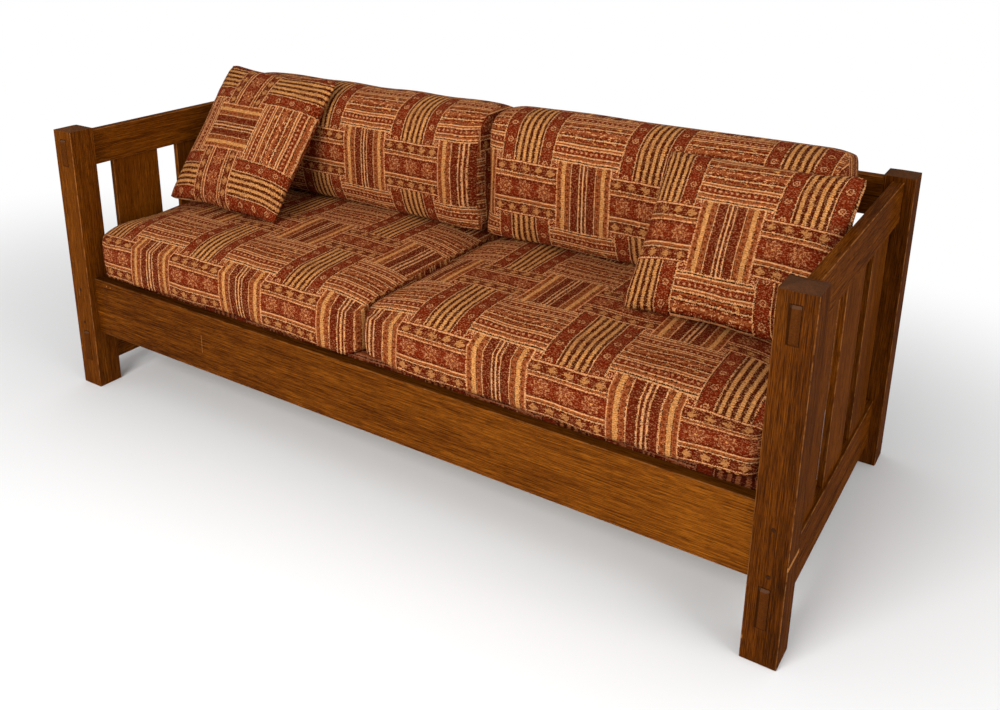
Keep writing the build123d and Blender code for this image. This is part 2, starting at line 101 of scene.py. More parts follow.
class Value:
    """A node socket that takes part in Python sums.

    Each sum adds the Math node that it stands for.
    """

    def __init__(self, graph: "Graph", socket: bpy.types.NodeSocket) -> None:
        """Wrap a socket of a graph."""
        self.graph = graph
        self.socket = socket

    def _sum(self, operation: str, *terms: Any) -> "Value":
        """A Math node with the given operation and terms."""
        return self.graph.node("ShaderNodeMath", {"operation": operation}, dict(enumerate(terms)))

    def __add__(self, other: Any) -> "Value":
        """Sum."""
        return self._sum("ADD", self, other)

    __radd__ = __add__

    def __sub__(self, other: Any) -> "Value":
        """Difference."""
        return self._sum("SUBTRACT", self, other)

    def __rsub__(self, other: Any) -> "Value":
        """Difference from a number."""
        return self._sum("SUBTRACT", other, self)

    def __mul__(self, other: Any) -> "Value":
        """Product."""
        return self._sum("MULTIPLY", self, other)

    __rmul__ = __mul__

    def __truediv__(self, other: Any) -> "Value":
        """Quotient."""
        return self._sum("DIVIDE", self, other)

    def __abs__(self) -> "Value":
        """Absolute value."""
        return self._sum("ABSOLUTE", self)

    def __pow__(self, other: float) -> "Value":
        """Power."""
        return self._sum("POWER", self, other)

    def __lt__(self, other: Any) -> "Value":
        """1 where it is less."""
        return self._sum("LESS_THAN", self, other)

    def __gt__(self, other: Any) -> "Value":
        """1 where it is more."""
        return self._sum("GREATER_THAN", self, other)

    def wrap(self) -> "Value":
        """The value brought into -0.5 to 0.5 by whole steps."""
        return self._sum("WRAP", self, 0.5, -0.5)

    def floor(self) -> "Value":
        """The whole number below."""
        return self._sum("FLOOR", self)

    def least(self, other: Any) -> "Value":
        """The lesser of two."""
        return self._sum("MINIMUM", self, other)

    def most(self, other: Any) -> "Value":
        """The greater of two."""
        return self._sum("MAXIMUM", self, other)

    def cosine(self) -> "Value":
        """Cosine."""
        return self._sum("COSINE", self)

    def angle(self, across: "Value") -> "Value":
        """Angle of the point whose height is this and whose width is the other."""
        return self._sum("ARCTAN2", self, across)

    def between(self, low: float, high: float) -> "Value":
        """1 between two bounds."""
        return (self > low) * (self < high)

    def ramped(self, low: float, high: float) -> "Value":
        """0 at the first bound, 1 at the second and smooth between them.

        Args:
            low: Where the result is 0.
            high: Where the result is 1, above or below the first bound.

        Returns:
            The eased value.
        """
        return self.graph.node(
            "ShaderNodeMapRange",
            {"interpolation_type": "SMOOTHSTEP"},
            {"Value": self, "From Min": low, "From Max": high},
        )


class Graph:
    """A node tree and the calls that fill it."""

    def __init__(self, owner: bpy.types.ID) -> None:
        """Start an empty tree.

        Args:
            owner: The material or world that it is in, or a node group.
        """
        self.owner = self.tree = owner
        if not isinstance(owner, bpy.types.NodeTree):
            owner.use_nodes = True
            self.tree = owner.node_tree
        self.tree.nodes.clear()

    @classmethod
    def material(cls, name: str) -> "Graph":
        """Start a new material."""
        return cls(bpy.data.materials.new(name))

    def node(
        self,
        kind: str,
        settings: dict[str, Any] | None = None,
        inputs: dict[Any, Any] | None = None,
        output: int | str = 0,
    ) -> Value | None:
        """Add a node.

        Args:
            kind: The node's type.
            settings: Properties, set before the sockets. "stops" and "ramp" fill a colour ramp.
            inputs: Values or links by socket name or number.
            output: Which output is returned.

        Returns:
            The chosen output, or None where the node has none.
        """
        made = self.tree.nodes.new(kind)
        for key, value in (settings or {}).items():
            if key == "stops":
                ramp = made.color_ramp
                while len(ramp.elements) < len(value):
                    ramp.elements.new(1.0)
                for element, (place, colour) in zip(ramp.elements, value):
                    element.position = place
                    element.color = (*colour, 1.0)
            elif key == "ramp":
                made.color_ramp.interpolation = value
            else:
                setattr(made, key, value)
        for key, value in (inputs or {}).items():
            socket = made.inputs[key]
            if isinstance(value, Value):
                self.tree.links.new(value.socket, socket)
            else:
                socket.default_value = (*value, 1.0) if socket.type == "RGBA" else value
        return Value(self, made.outputs[output]) if made.outputs else None

    def ramp(self, place: Value, stops: Sequence[tuple[float, Colour]], kind: str) -> Value:
        """A colour ramp over a value, of the kind LINEAR, or CONSTANT for hard edges."""
        settings = {"ramp": kind, "stops": list(stops)}
        return self.node("ShaderNodeValToRGB", settings, {"Fac": place})

    def mix(self, share: Any, first: Any, second: Any) -> Value:
        """Mix two colours, the second by a share."""
        inputs = {0: share, 6: first, 7: second}
        return self.node("ShaderNodeMix", {"data_type": "RGBA"}, inputs, 2)

    def noise(
        self, place: Value, scale: float = 1.0, detail: float = 2.0, rough: float = 0.5,
        stray: float = 0.0,
    ) -> Value:
        """A noise value from 0 to 1.

        Args:
            place: Where it is read.
            scale: Waves for each unit of the place.
            detail: Number of finer layers.
            rough: How strong the finer layers are.
            stray: How far the waves wander.

        Returns:
            The value.
        """
        inputs = {
            "Vector": place, "Scale": scale, "Detail": detail, "Roughness": rough,
            "Distortion": stray,
        }
        return self.node("ShaderNodeTexNoise", {"noise_dimensions": "3D"}, inputs)

    def speckle(self, *cell: Any) -> Value:
        """A random value for each cell that has whole coordinates."""
        place = self.join(*cell)
        return self.node("ShaderNodeTexWhiteNoise", {"noise_dimensions": "3D"}, {"Vector": place})

    def join(self, x: Any, y: Any, z: Any = 0.0) -> Value:
        """A vector from three values."""
        return self.node("ShaderNodeCombineXYZ", {}, {0: x, 1: y, 2: z})

    def split(self, place: Value) -> tuple[Value, Value, Value]:
        """The three values of a vector."""
        outputs = self.node("ShaderNodeSeparateXYZ", {}, {0: place}).socket.node.outputs
        return tuple(Value(self, outputs[number]) for number in range(3))

    def place(
        self, scale: Sequence[float] = (1, 1, 1), shift: Sequence[float] = (0, 0, 0)
    ) -> Value:
        """Object coordinates, brought elsewhere by a Mapping node.

        Args:
            scale: Their scale along each axis.
            shift: Their shift after that.

        Returns:
            The coordinates.
        """
        own = self.node("ShaderNodeTexCoord", {}, {}, "Object")
        inputs = {"Vector": own, "Scale": tuple(scale), "Location": tuple(shift)}
        return self.node("ShaderNodeMapping", {}, inputs)

    def cloth(self) -> Value:
        """Coordinates on the flat cloth."""
        return self.node("ShaderNodeUVMap", {"uv_map": CLOTH_MAP})

    def finish(
        self, colour: Any, roughness: Any, height: Value, depth: float, strength: float,
        **fixed: float,
    ) -> bpy.types.Material:
        """Close the graph with a Principled shader.

        Args:
            colour: Base colour or its link.
            roughness: Roughness or its link.
            height: Relief that feeds a Bump node.
            depth: Depth of the relief at height 1, in metres.
            strength: Strength of the relief.
            fixed: Other sockets of the shader, with spaces written as underscores.

        Returns:
            The finished material.
        """
        inputs = {"Base Color": colour, "Roughness": roughness}
        inputs.update({key.replace("_", " "): value for key, value in fixed.items()})
        relief = {"Height": height, "Distance": depth, "Strength": strength}
        inputs["Normal"] = self.node("ShaderNodeBump", {}, relief)
        return self.close(self.node("ShaderNodeBsdfPrincipled", {}, inputs))

    def close(self, shader: Value, output: str = "Material") -> bpy.types.ID:
        """Link the last shader to the output and return the material or the world."""
        self.node(f"ShaderNodeOutput{output}", {}, {"Surface": shader})
        return self.owner


class Tree(Graph):
    """A Geometry Nodes tree with named inputs, run on one mesh."""

    def __init__(self, name: str) -> None:
        """Start a tree that has a geometry input and output.

        Args:
            name: Its name.
        """
        super().__init__(bpy.data.node_groups.new(name, "GeometryNodeTree"))
        for way in ("INPUT", "OUTPUT"):
            self.tree.interface.new_socket("Geometry", in_out=way, socket_type="NodeSocketGeometry")
        self.values: dict[str, Any] = {}
        self.entry = self.node("NodeGroupInput").socket.node

    def incoming(self, name: str) -> Value:
        """The input of a name, inside the tree."""
        return Value(self, self.entry.outputs[name])

    def number(self, name: str, value: Any, kind: str = "NodeSocketFloat") -> Value:
        """Add a named input and keep the value that it is run with.

        Args:
            name: Its name.
            value: Its value.
            kind: Its socket type.

        Returns:
            The value inside the tree.
        """
        item = self.tree.interface.new_socket(name, in_out="INPUT", socket_type=kind)
        self.values[item.identifier] = value
        return self.incoming(name)

    def run(
        self, name: str, source: bpy.types.Mesh, last: Value, finish: bpy.types.Material
    ) -> bpy.types.Object:
        """Close the tree, run it on a mesh and keep the result as a plain mesh.

        Args:
            name: Name of the new object.
            source: Mesh that the tree starts from.
            last: Geometry before the closing nodes.
            finish: Material of the result.

        Returns:
            The object.
        """
        material = self.number("Finish", finish, "NodeSocketMaterial")
        real = self.node("GeometryNodeRealizeInstances", {}, {0: last})
        inputs = {"Geometry": real, "Material": material}
        self.node("NodeGroupOutput", {}, {0: self.node("GeometryNodeSetMaterial", {}, inputs)})
        carrier = link(bpy.data.objects.new(f"{name}_carrier", source))
        modifier = carrier.modifiers.new("Tree", "NODES")
        modifier.node_group = self.tree
        for identifier, value in self.values.items():
            modifier[identifier] = value
        depsgraph = bpy.context.evaluated_depsgraph_get()
        mesh = bpy.data.meshes.new_from_object(carrier.evaluated_get(depsgraph))
        bpy.data.objects.remove(carrier)
        mesh.name = name
        return link(bpy.data.objects.new(name, mesh))


class Grain(Enum):
    """Which way a piece's grain runs."""

    ALONG = 0
    DEPTH = 1
    HEIGHT = 2


@dataclass(frozen=True)
class Layer:
    """A layer of noise in wood.

    Attributes:
        across: Its waves to the metre across the grain.
        along: Its waves to the metre along the grain.
        detail: Number of finer layers.
        rough: How strong the finer layers are.
        stray: How far the waves wander.
        drift: How far a piece's own shift moves it.
    """

    across: float
    along: float
    detail: float = 2.0
    rough: float = 0.5
    stray: float = 0.0
    drift: float = 1.0

    def on(self, graph: Graph, grain: Grain, shift: Sequence[float] = (0, 0, 0)) -> Value:
        """Add the layer to a material.

        Args:
            graph: The material's graph.
            grain: The way the grain runs.
            shift: The piece's own shift.

        Returns:
            The layer's value, 0 to 1.
        """
        scale = [self.across] * 3
        scale[grain.value] = self.along
        place = graph.place(scale, [v * self.drift for v in shift])
        return graph.noise(place, 1.0, self.detail, self.rough, self.stray)


@dataclass(frozen=True)
class Patch:
    """An upright rectangle on a front face: its middle and its half sizes, in metres."""

    x: float
    z: float
    half_x: float
    half_z: float

    def outside(self, x: Value, z: Value) -> Value:
        """How far a place is outside it, below 0 inside."""
        return (abs(x - self.x) - self.half_x).most(abs(z - self.z) - self.half_z)

    def reach(self, x: Value, z: Value) -> Value:
        """How far a place is from its middle, 1 at its edge."""
        return (abs(x - self.x) / self.half_x).most(abs(z - self.z) / self.half_z)


@dataclass(frozen=True)
class Board:
    """What sets one oak piece apart.

    Attributes:
        grain: The way its grain runs.
        fleck: Share of ray fleck.
        tone: 0 for a dark board, 1 for a light one.
        slope: How much lighter it gets for each metre to the right.
        joints: Mortises in its face, with a dark line along the edge: partly stain gathered there,
            partly painted shade in the gap.
        marks: Scratches and nicks down to the pale wood.
        proud: End of its tenon that stands out of a post, with a painted highlight on its upper
            bevel and painted shade on its left one.
        painted_cap_sheen: Whether the upper facets of its cap get a painted sheen.
        painted_top_shade: How much darker its top face is painted, as shade under the cushions.
    """

    grain: Grain
    fleck: float
    tone: float
    slope: float = 0.0
    joints: tuple[Patch, ...] = ()
    marks: tuple[Patch, ...] = ()
    proud: Patch | None = None
    painted_cap_sheen: bool = False
    painted_top_shade: float = 0.0


@dataclass(frozen=True)
class FumedOak:
    """Fumed and stained oak under satin lacquer, with worn arrises.

    Attributes:
        shifts: For each axis, how far each board shifts the grain and where that starts again.
        rail_contrast: Contrast of the grain on the long rails.
        contrast: Contrast of the grain elsewhere.
        arris: Width of the wear along an arris.
        joint_line: Width of the dark line round a mortise.
        proud_from: Distance from the middle of the depth at which a tenon stands out of its post.
        bevel: Width of a tenon's bevel.
        cap_sheen_depth: Height of a post's cap that gets the painted sheen.
        skin: Depth below a top face within which it is painted darker as shade.
    """

    light: Colour = srgb(134, 75, 16)
    middle: Colour = srgb(90, 44, 7)
    deep: Colour = srgb(48, 21, 3)
    # Dark colour of the open pores, also used for painted shade
    pore_and_shade: Colour = srgb(28, 12, 2)
    worn: Colour = srgb(170, 110, 56)
    fleck: Colour = srgb(118, 64, 17)
    # Greyish colour of the painted sheen on the post caps and the painted highlight on the tenons'
    # upper bevels
    cap: Colour = srgb(86, 62, 46)
    tenon: Colour = srgb(70, 35, 9)
    bands: Layer = Layer(30.0, 1.1, 4.0, 0.62, 0.35, 1.5)
    lines: Layer = Layer(600.0, 12.0, 2.0, 0.6, 0.25, 30.0)
    pores: Layer = Layer(720.0, 40.0, 2.0, 0.6, 0.1, 36.0)
    rays: Layer = Layer(10.0, 95.0, 3.0, 0.6, 1.1)
    patches: Layer = Layer(6.0, 6.0)
    scuffs: Layer = Layer(30.0, 30.0, 4.0, 0.65)
    shifts: tuple[tuple[float, float], ...] = ((3.7, 11.0), (5.3, 7.0), (2.9, 5.0))
    rail_contrast: float = 1.4
    contrast: float = 1.05
    arris: float = 0.0026
    wear: float = 0.6
    joint_line: float = 0.0032
    proud_from: float = 0.4656
    bevel: float = 0.0048
    cap_sheen_depth: float = 0.011
    skin: float = 0.0012

    def dress(self, node: bpy.types.Object, board: Board, seed: int) -> bpy.types.Material:
        """Make the material of one piece.

        Args:
            node: The piece, whose box gives where its arrises are.
            board: What sets it apart.
            seed: Number that shifts the grain.

        Returns:
            The material.
        """
        low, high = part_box(node.name)
        graph = Graph.material(f"oak_{node.name}")
        shift = [step * seed % around for step, around in self.shifts]
        bands, lines, pores, rays, patches, scuffs = (
            layer.on(graph, board.grain, shift)
            for layer in (self.bands, self.lines, self.pores, self.rays, self.patches, self.scuffs)
        )
        x, y, z = graph.split(graph.place())
        contrast = self.rail_contrast if board.grain is Grain.ALONG else self.contrast
        shade = bands * 0.5 + lines * contrast + patches * 0.25 + x * board.slope
        shade = shade + (board.tone - 0.35 - contrast / 2)
        stops = [(0.2, self.deep), (0.48, self.middle), (0.85, self.light)]
        colour = graph.ramp(shade, stops, "LINEAR")
        flecks = rays.ramped(0.56, 0.74) * patches.ramped(0.4, 0.65) * board.fleck
        colour = graph.mix(flecks, colour, self.fleck)
        open_pores = pores.ramped(0.5, 0.62)
        colour = graph.mix(open_pores * 0.5, colour, self.pore_and_shade)
        # Wear lies where two faces of the board meet
        gaps = [
            (value - bottom).least(top - value)
            for value, bottom, top in zip((x, y, z), low, high)
        ]
        pair = gaps[0].most(gaps[1]).least(gaps[1].most(gaps[2])).least(gaps[0].most(gaps[2]))
        edge = pair.ramped(self.arris, 0.0) * scuffs.ramped(0.36, 0.6)
        colour = graph.mix(edge * self.wear, colour, self.worn)
        # A dark line round each mortise: partly stain gathered in the joint, partly painted shade
        # in the gap round the tenon
        for joint in board.joints:
            line = abs(joint.outside(x, z)).ramped(self.joint_line, 0.0)
            colour = graph.mix(line * 0.85, colour, self.pore_and_shade)
        for mark in board.marks:
            colour = graph.mix((mark.reach(x, z) < scuffs + 0.45) * 0.8, colour, self.worn)
        if board.proud is not None:
            colour = self._tenon_end(graph, colour, board.proud, (x, y, z))
        # Painted sheen: the upper facets of a post's cap are greyed where they would reflect the
        # light
        if board.painted_cap_sheen:
            cap_sheen = z.ramped(high.z - self.cap_sheen_depth, high.z - self.cap_sheen_depth + 0.002)
            colour = graph.mix(cap_sheen * 0.42, colour, self.cap)
        # Painted shade: the top face is darkened as if shaded by the cushions over it
        if board.painted_top_shade:
            colour = graph.mix((z > high.z - self.skin) * board.painted_top_shade, colour, self.pore_and_shade)
        rough = 0.4 + open_pores * 0.2 + edge * 0.15 + patches * 0.12
        return graph.finish(
            colour, rough, lines * 0.4 - open_pores, 0.0003, 0.6,
            Coat_Weight=0.035, Coat_Roughness=0.22, Specular_IOR_Level=0.0,
        )

    def _tenon_end(
        self, graph: Graph, colour: Value, end: Patch, place: tuple[Value, Value, Value]
    ) -> Value:
        """Darken a tenon's end, with a painted highlight on its upper bevel and painted shade on
        its left one.

        Args:
            graph: The material's graph.
            colour: The colour so far.
            end: The tenon's end.
            place: Object coordinates.

        Returns:
            The colour.
        """
        x, y, z = place
        proud = abs(y) > self.proud_from
        bevel = proud * end.outside(x, z).between(-self.bevel, 0.0)
        # Painted light: a highlight on the upper bevel and shade on the left bevel
        upper = bevel * (z > end.z + end.half_z - 0.005)
        left = bevel * (x < end.x - end.half_x + 0.0045)
        colour = graph.mix(proud * 0.7, colour, self.tenon)
        colour = graph.mix(upper * 0.6, colour, self.cap)
        return graph.mix(left * 0.6, colour, self.pore_and_shade)


@dataclass(frozen=True)
class PlainWood:
    """Planed wood that is out of sight, or the dark end grain of a peg."""

    name: str
    pale: Colour
    dark: Colour
    roughness: float
    streaks: Layer = Layer(160.0, 4.0, 4.0, 0.6, 0.4)
    marks: Layer = Layer(9.0, 9.0)

    def dress(self, grain: Grain) -> bpy.types.Material:
        """Make the material.

        Args:
            grain: The way its grain runs.

        Returns:
            The material.
        """
        graph = Graph.material(f"{self.name}_{grain.name.lower()}")
        streaks, marks = self.streaks.on(graph, grain), self.marks.on(graph, grain)
        stops = [(0.3, self.dark), (0.7, self.pale)]
        colour = graph.ramp(streaks * 0.7 + marks * 0.3, stops, "LINEAR")
        rough = self.roughness + marks * 0.15
        return graph.finish(colour, rough, streaks, 0.0003, 0.5, Specular_IOR_Level=0.02)


@dataclass(frozen=True)
class ScrewSteel:
    """Zinc plated steel with fine turning marks."""

    bright: Colour = srgb(176, 172, 160)
    dull: Colour = srgb(120, 116, 104)

    def dress(self) -> bpy.types.Material:
        """Make the material.

        Returns:
            The material.
        """
        graph = Graph.material("screw_steel")
        marks = graph.noise(graph.place((900, 120, 900)))
        colour = graph.mix(marks * 0.35, self.bright, self.dull)
        return graph.finish(colour, 0.32 + marks * 0.2, marks, 0.0001, 0.4, Metallic=1.0)


@dataclass(frozen=True)
class PlainWeave:
    """A plain woven cloth or felt read from the piece's own coordinates on the cloth."""

    name: str
    warp: Colour
    weft: Colour
    pitch: float = 0.0016
    stripe: Colour | None = None
    stripe_pitch: float = 0.02
    stripe_share: float = 0.12
    hair: Colour = (0.02, 0.02, 0.02)

    def dress(self) -> bpy.types.Material:
        """Make the material.

        Returns:
            The material.
        """
        graph = Graph.material(self.name)
        u, v, _ = graph.split(graph.cloth())
        across, along = u / self.pitch, v / self.pitch
        over = (across * 0.5).wrap() * (along * 0.5).wrap() > 0.0
        hair = graph.speckle(across.floor(), along.floor())
        colour = graph.mix(over, self.warp, self.weft)
        if self.stripe is not None:
            band = abs((u / self.stripe_pitch).wrap()) < self.stripe_share
            colour = graph.mix(band, colour, self.stripe)
        colour = graph.mix(hair * 0.3, colour, self.hair)
        waves = (across * math.pi).cosine() * (along * math.pi).cosine()
        return graph.finish(colour, 0.9 - hair * 0.1, abs(waves), 0.0004, 0.6)


@dataclass(frozen=True)
class Block:
    """A block of the tapestry: its middle and half sizes on the cloth, and its stripes.

    Attributes:
        tall: Whether its stripes run across the cloth.
        bands: Yarns and where each starts, from its middle line at 0 to its edge at 1.
    """

    u: float
    v: float
    half_u: float
    half_v: float
    tall: bool
    bands: str


@dataclass(frozen=True)
class Spot:
    """A place in a block: its offsets from the middle, how near the edge it is, and smudged dye."""

    u: Value
    v: Value
    across: Value
    smudge: Value


@dataclass(frozen=True)
class PatchworkTapestry:
    """Chenille tapestry: a basket weave of striped blocks with ikat bands, rings and rosettes.

    Stripes run along the wide blocks and up the tall ones. The four blocks of a repeat meet at
    small squares.
    """

    name: str = "patchwork_tapestry"
    brick: Colour = srgb(119, 33, 8)
    maroon: Colour = srgb(98, 24, 5)
    wine: Colour = srgb(78, 19, 4)
    mauve: Colour = srgb(152, 73, 33)
    gold: Colour = srgb(222, 153, 86)
    tan: Colour = srgb(232, 163, 106)
    dark: Colour = srgb(48, 14, 1)
    repeat: float = 0.352
    striped: Block = Block(
        0.0, 0.0, 0.097, 0.085, False,
        "mauve 0 brick 0.06 dark 0.14 tan 0.17 dark 0.215 brick 0.235 mauve 0.31 dark 0.365"
        " tan 0.395 mauve 0.445 tan 0.5 dark 0.54 brick 0.565 brick 0.7 tan 0.735 dark 0.775"
        " mauve 0.8 tan 0.88 dark 0.925 tan 0.96",
    )
    barred: Block = Block(
        0.176, 0.0, 0.079, 0.103, True,
        "wine 0 gold 0.055 wine 0.165 gold 0.275 wine 0.385 tan 0.475 dark 0.505 brick 0.53"
        " dark 0.935 tan 0.965",
    )
    field: Block = Block(
        0.0, 0.176, 0.079, 0.091, True,
        "tan 0 dark 0.03 maroon 0.05 tan 0.12 dark 0.16 maroon 0.18 tan 0.445 dark 0.48"
        " mauve 0.5 dark 0.645 gold 0.665 dark 0.81 mauve 0.83 tan 0.965",
    )
    ikat: Block = Block(
        0.176, 0.176, 0.097, 0.073, False,
        "brick 0 maroon 0.28 tan 0.375 mauve 0.42 dark 0.5 tan 0.525 dark 0.57 maroon 0.59"
        " tan 0.93 brick 0.975",
    )
    warp: float = 0.0021
    weft: float = 0.0019
    bow: float = 0.012
    fray: float = 0.8
    dot_pitch: float = 0.0145
    arrow_pitch: float = 0.039
    rosette_pitch: float = 0.062
    rosette_reach: float = 0.0195
    petals: int = 8
    petal_depth: float = 0.004
    rosette_rim: float = 0.0035
    rosette_heart: float = 0.003
    ring_pitch: float = 0.05
    rung_pitch: float = 0.0055
    field_rung_pitch: float = 0.005
    dash_pitch: float = 0.017

    def shaded_copy(self, name: str, share: float) -> "PatchworkTapestry":
        """The same cloth with every colour darkened, as painted shade.

        Args:
            name: Its name.
            share: How bright the painted shade leaves its colours, next to these.

        Returns:
            The darker cloth.
        """
        words = ("brick", "maroon", "wine", "mauve", "gold", "tan", "dark")
        darker = {word: tuple(v * share for v in getattr(self, word)) for word in words}
        return replace(self, name=name, **darker)

    def _local(self, block: Block, u: Value, v: Value) -> tuple[Value, Value]:
        """Offsets from the nearest middle of a block."""
        middles = ((u, block.u), (v, block.v))
        return tuple(((way - at) / self.repeat).wrap() * self.repeat for way, at in middles)

    def dress(self) -> bpy.types.Material:
        """Make the material.

        Returns:
            The material.
        """
        graph = Graph.material(self.name)
        cloth = graph.cloth()
        flat_u, flat_v, _ = graph.split(cloth)
        u = flat_u + (graph.noise(cloth, 5.0, 2.0, 0.6) - 0.5) * self.bow
        v = flat_v + (graph.noise(cloth, 6.3, 2.0, 0.6) - 0.5) * self.bow
        pick = (v / self.weft).floor()
        end = (u / self.warp + (pick * 0.5).wrap()).floor()
        yarn, fray = graph.speckle(end, pick), graph.speckle(end, pick, 7.0)
        u = (end + 0.5 + (fray - 0.5) * self.fray) * self.warp
        v = (pick + 0.5 + (yarn - 0.5) * self.fray) * self.weft
        own_u, own_v = self._local(self.striped, u, v)
        smudge = graph.noise(graph.join(own_u * 55.0, own_v * 160.0), 1.0, 2.0, 0.6)

        # The squares between the blocks come first, then the blocks
        colour = graph.mix(fray > 0.72, self.brick, self.tan)
        for block, figure in (
            (self.striped, self._dots),
            (self.ikat, self._rosettes),
            (self.barred, self._rings),
            (self.field, self._bars),
        ):
            own_u, own_v = self._local(block, u, v)
            inside = (abs(own_u) < block.half_u) * (abs(own_v) < block.half_v)
            across = abs(own_u) / block.half_u if block.tall else abs(own_v) / block.half_v
            words = block.bands.split()
            stops = [(float(at), getattr(self, word)) for word, at in zip(words[::2], words[1::2])]
            stripes = graph.ramp(across, stops, "CONSTANT")
            stripes = figure(graph, stripes, Spot(own_u, own_v, across, smudge))
            colour = graph.mix(inside, colour, stripes)

        # Chenille: every tuft differs a little, and pale threads stand higher
        level = graph.node("ShaderNodeRGBToBW", {}, {"Color": colour})
        rounds = ((flat_v / self.weft).wrap() * math.pi).cosine()
        streak = graph.noise(graph.join(flat_u * 130.0, flat_v * 520.0), 1.0, 2.0, 0.6)
        broad = graph.noise(cloth, 9.0)
        for share, thread in (
            (streak.ramped(0.48, 0.7) * 0.7, self.dark),
            (streak.ramped(0.46, 0.28) * 0.38, self.tan),
            (yarn.ramped(0.4, 1.0) * 0.42, self.dark),
            ((fray > 0.88) * 0.25, self.tan),
            (broad.ramped(0.45, 0.75) * 0.14, self.maroon),
        ):
            colour = graph.mix(share, colour, thread)
        relief = yarn * 0.5 + level * 1.1 + rounds * 0.7
        return graph.finish(
            colour, 0.93 - yarn * 0.08, relief, 0.0012, 0.8,
            Sheen_Weight=0.0, Specular_IOR_Level=0.02,
        )

    def _dots(self, graph: Graph, stripes: Value, spot: Spot) -> Value:
        """Smudge thin lines and put dots on the bands between them.

        Args:
            graph: The material's graph.
            stripes: The block's stripes.
            spot: The place in the block.

        Returns:
            The block's colour.
        """
        stripes = graph.mix((spot.smudge > 0.58) * (spot.across < 0.13), stripes, self.tan)
        between = spot.across.between(0.235, 0.36)
        stripes = graph.mix((spot.smudge > 0.6) * between, stripes, self.gold)
        along = abs((spot.u / self.dot_pitch).wrap())
        dots = (along * 1.5 + abs(spot.across - 0.635) * 8.5 + spot.smudge * 0.5) < 0.66
        return graph.mix(dots * 0.75, stripes, self.tan)

    def _rosettes(self, graph: Graph, stripes: Value, spot: Spot) -> Value:
        """Put rosettes along the middle and arrowheads on the bands beside it.

        Args:
            graph: The material's graph.
            stripes: The block's stripes.
            spot: The place in the block.

        Returns:
            The block's colour.
        """
        along = abs((spot.u / self.arrow_pitch).wrap())
        fuzz = graph.noise(graph.join(spot.u * 150.0, spot.v * 260.0)) - 0.5
        arrow = along * 2.2 + abs(spot.across - 0.755) * 4.6 + fuzz * 2.2
        heads = (arrow < 0.66) * spot.across.between(0.6, 0.91)
        stripes = graph.mix(heads * 0.62, stripes, self.gold)
        along = (spot.u / self.rosette_pitch).wrap() * self.rosette_pitch
        reach = (along * along + spot.v * spot.v) ** 0.5
        petals = (spot.v.angle(along) * float(self.petals)).cosine()
        outer = petals * self.petal_depth + self.rosette_reach
        flower = (reach < outer) * (spot.across < 0.34)
        rim = flower * ((reach > outer - self.rosette_rim).most(petals.between(-0.25, 0.25)))
        stripes = graph.mix(flower * 0.35, stripes, self.mauve)
        stripes = graph.mix(rim * (spot.smudge > 0.4) * 0.55, stripes, self.tan)
        return graph.mix(reach < self.rosette_heart, stripes, self.gold)

    def _rings(self, graph: Graph, stripes: Value, spot: Spot) -> Value:
        """Put dark rungs on the gold bars and six-sided rings on the bands beside them.

        Args:
            graph: The material's graph.
            stripes: The block's stripes.
            spot: The place in the block.

        Returns:
            The block's colour.
        """
        rung = abs((spot.v / self.rung_pitch).wrap()) < 0.16
        stripes = graph.mix(rung * (spot.across < 0.385) * 0.4, stripes, self.dark)
        # Lengths in a ring are in millimetres
        along = abs((spot.v / self.ring_pitch).wrap()) * (self.ring_pitch * 1000.0)
        away = abs(spot.across - 0.735) * self.barred.half_u * 1000.0
        ring = along.most(along * 0.5 + away * 0.87) + (spot.smudge - 0.5) * 3.0
        stripes = graph.mix(ring.between(5.2, 7.6) * 0.72, stripes, self.tan)
        stripes = graph.mix(ring.between(7.6, 9.6) * 0.6, stripes, self.dark)
        return graph.mix((ring < 1.8) * 0.6, stripes, self.tan)

    def _bars(self, graph: Graph, stripes: Value, spot: Spot) -> Value:
        """Put dashes beside the gold bars and rungs on them.

        Args:
            graph: The material's graph.
            stripes: The block's stripes.
            spot: The place in the block.

        Returns:
            The block's colour.
        """
        beside = spot.across.between(0.53, 0.61).most(spot.across.between(0.86, 0.93))
        dashes = (abs((spot.v / self.dash_pitch).wrap()) < 0.24) * beside
        stripes = graph.mix(dashes * 0.8, stripes, self.maroon)
        rung = abs((spot.v / self.field_rung_pitch).wrap()) < 0.17
        return graph.mix(rung * spot.across.between(0.665, 0.81) * 0.4, stripes, self.brick)


def crown(share: Array) -> Array:
    """Rise of a stuffed panel, 0 at its seam and 1 where it levels off."""
    return 1 - (1 - np.clip(share, 0, 1)) ** 2


def lengths(steps: Array) -> Array:
    """Length of the way up to each point, from the steps between them."""
    return np.concatenate([[0.0], np.cumsum(np.linalg.norm(steps, axis=1))])


def grid(count_a: int, count_b: int) -> Array:
    """Places of a grid of cells over a square from -1 to 1, row by row."""
    ways = (np.linspace(-1, 1, count + 1) for count in (count_a, count_b))
    return np.stack([way.ravel() for way in np.meshgrid(*ways, indexing="ij")], axis=1)


def cells(rows: int, deep: int) -> Iterator[tuple[int, int, int, int]]:
    """Each cell of a grid whose points are numbered row by row.

    Args:
        rows: Number of rows.
        deep: Number of points in a row.

    Yields:
        The numbers of its corners, against the clock.
    """
    for row in range(rows - 1):
        for first in range(row * deep, row * deep + deep - 1):
            yield first, first + deep, first + deep + 1, first + 1


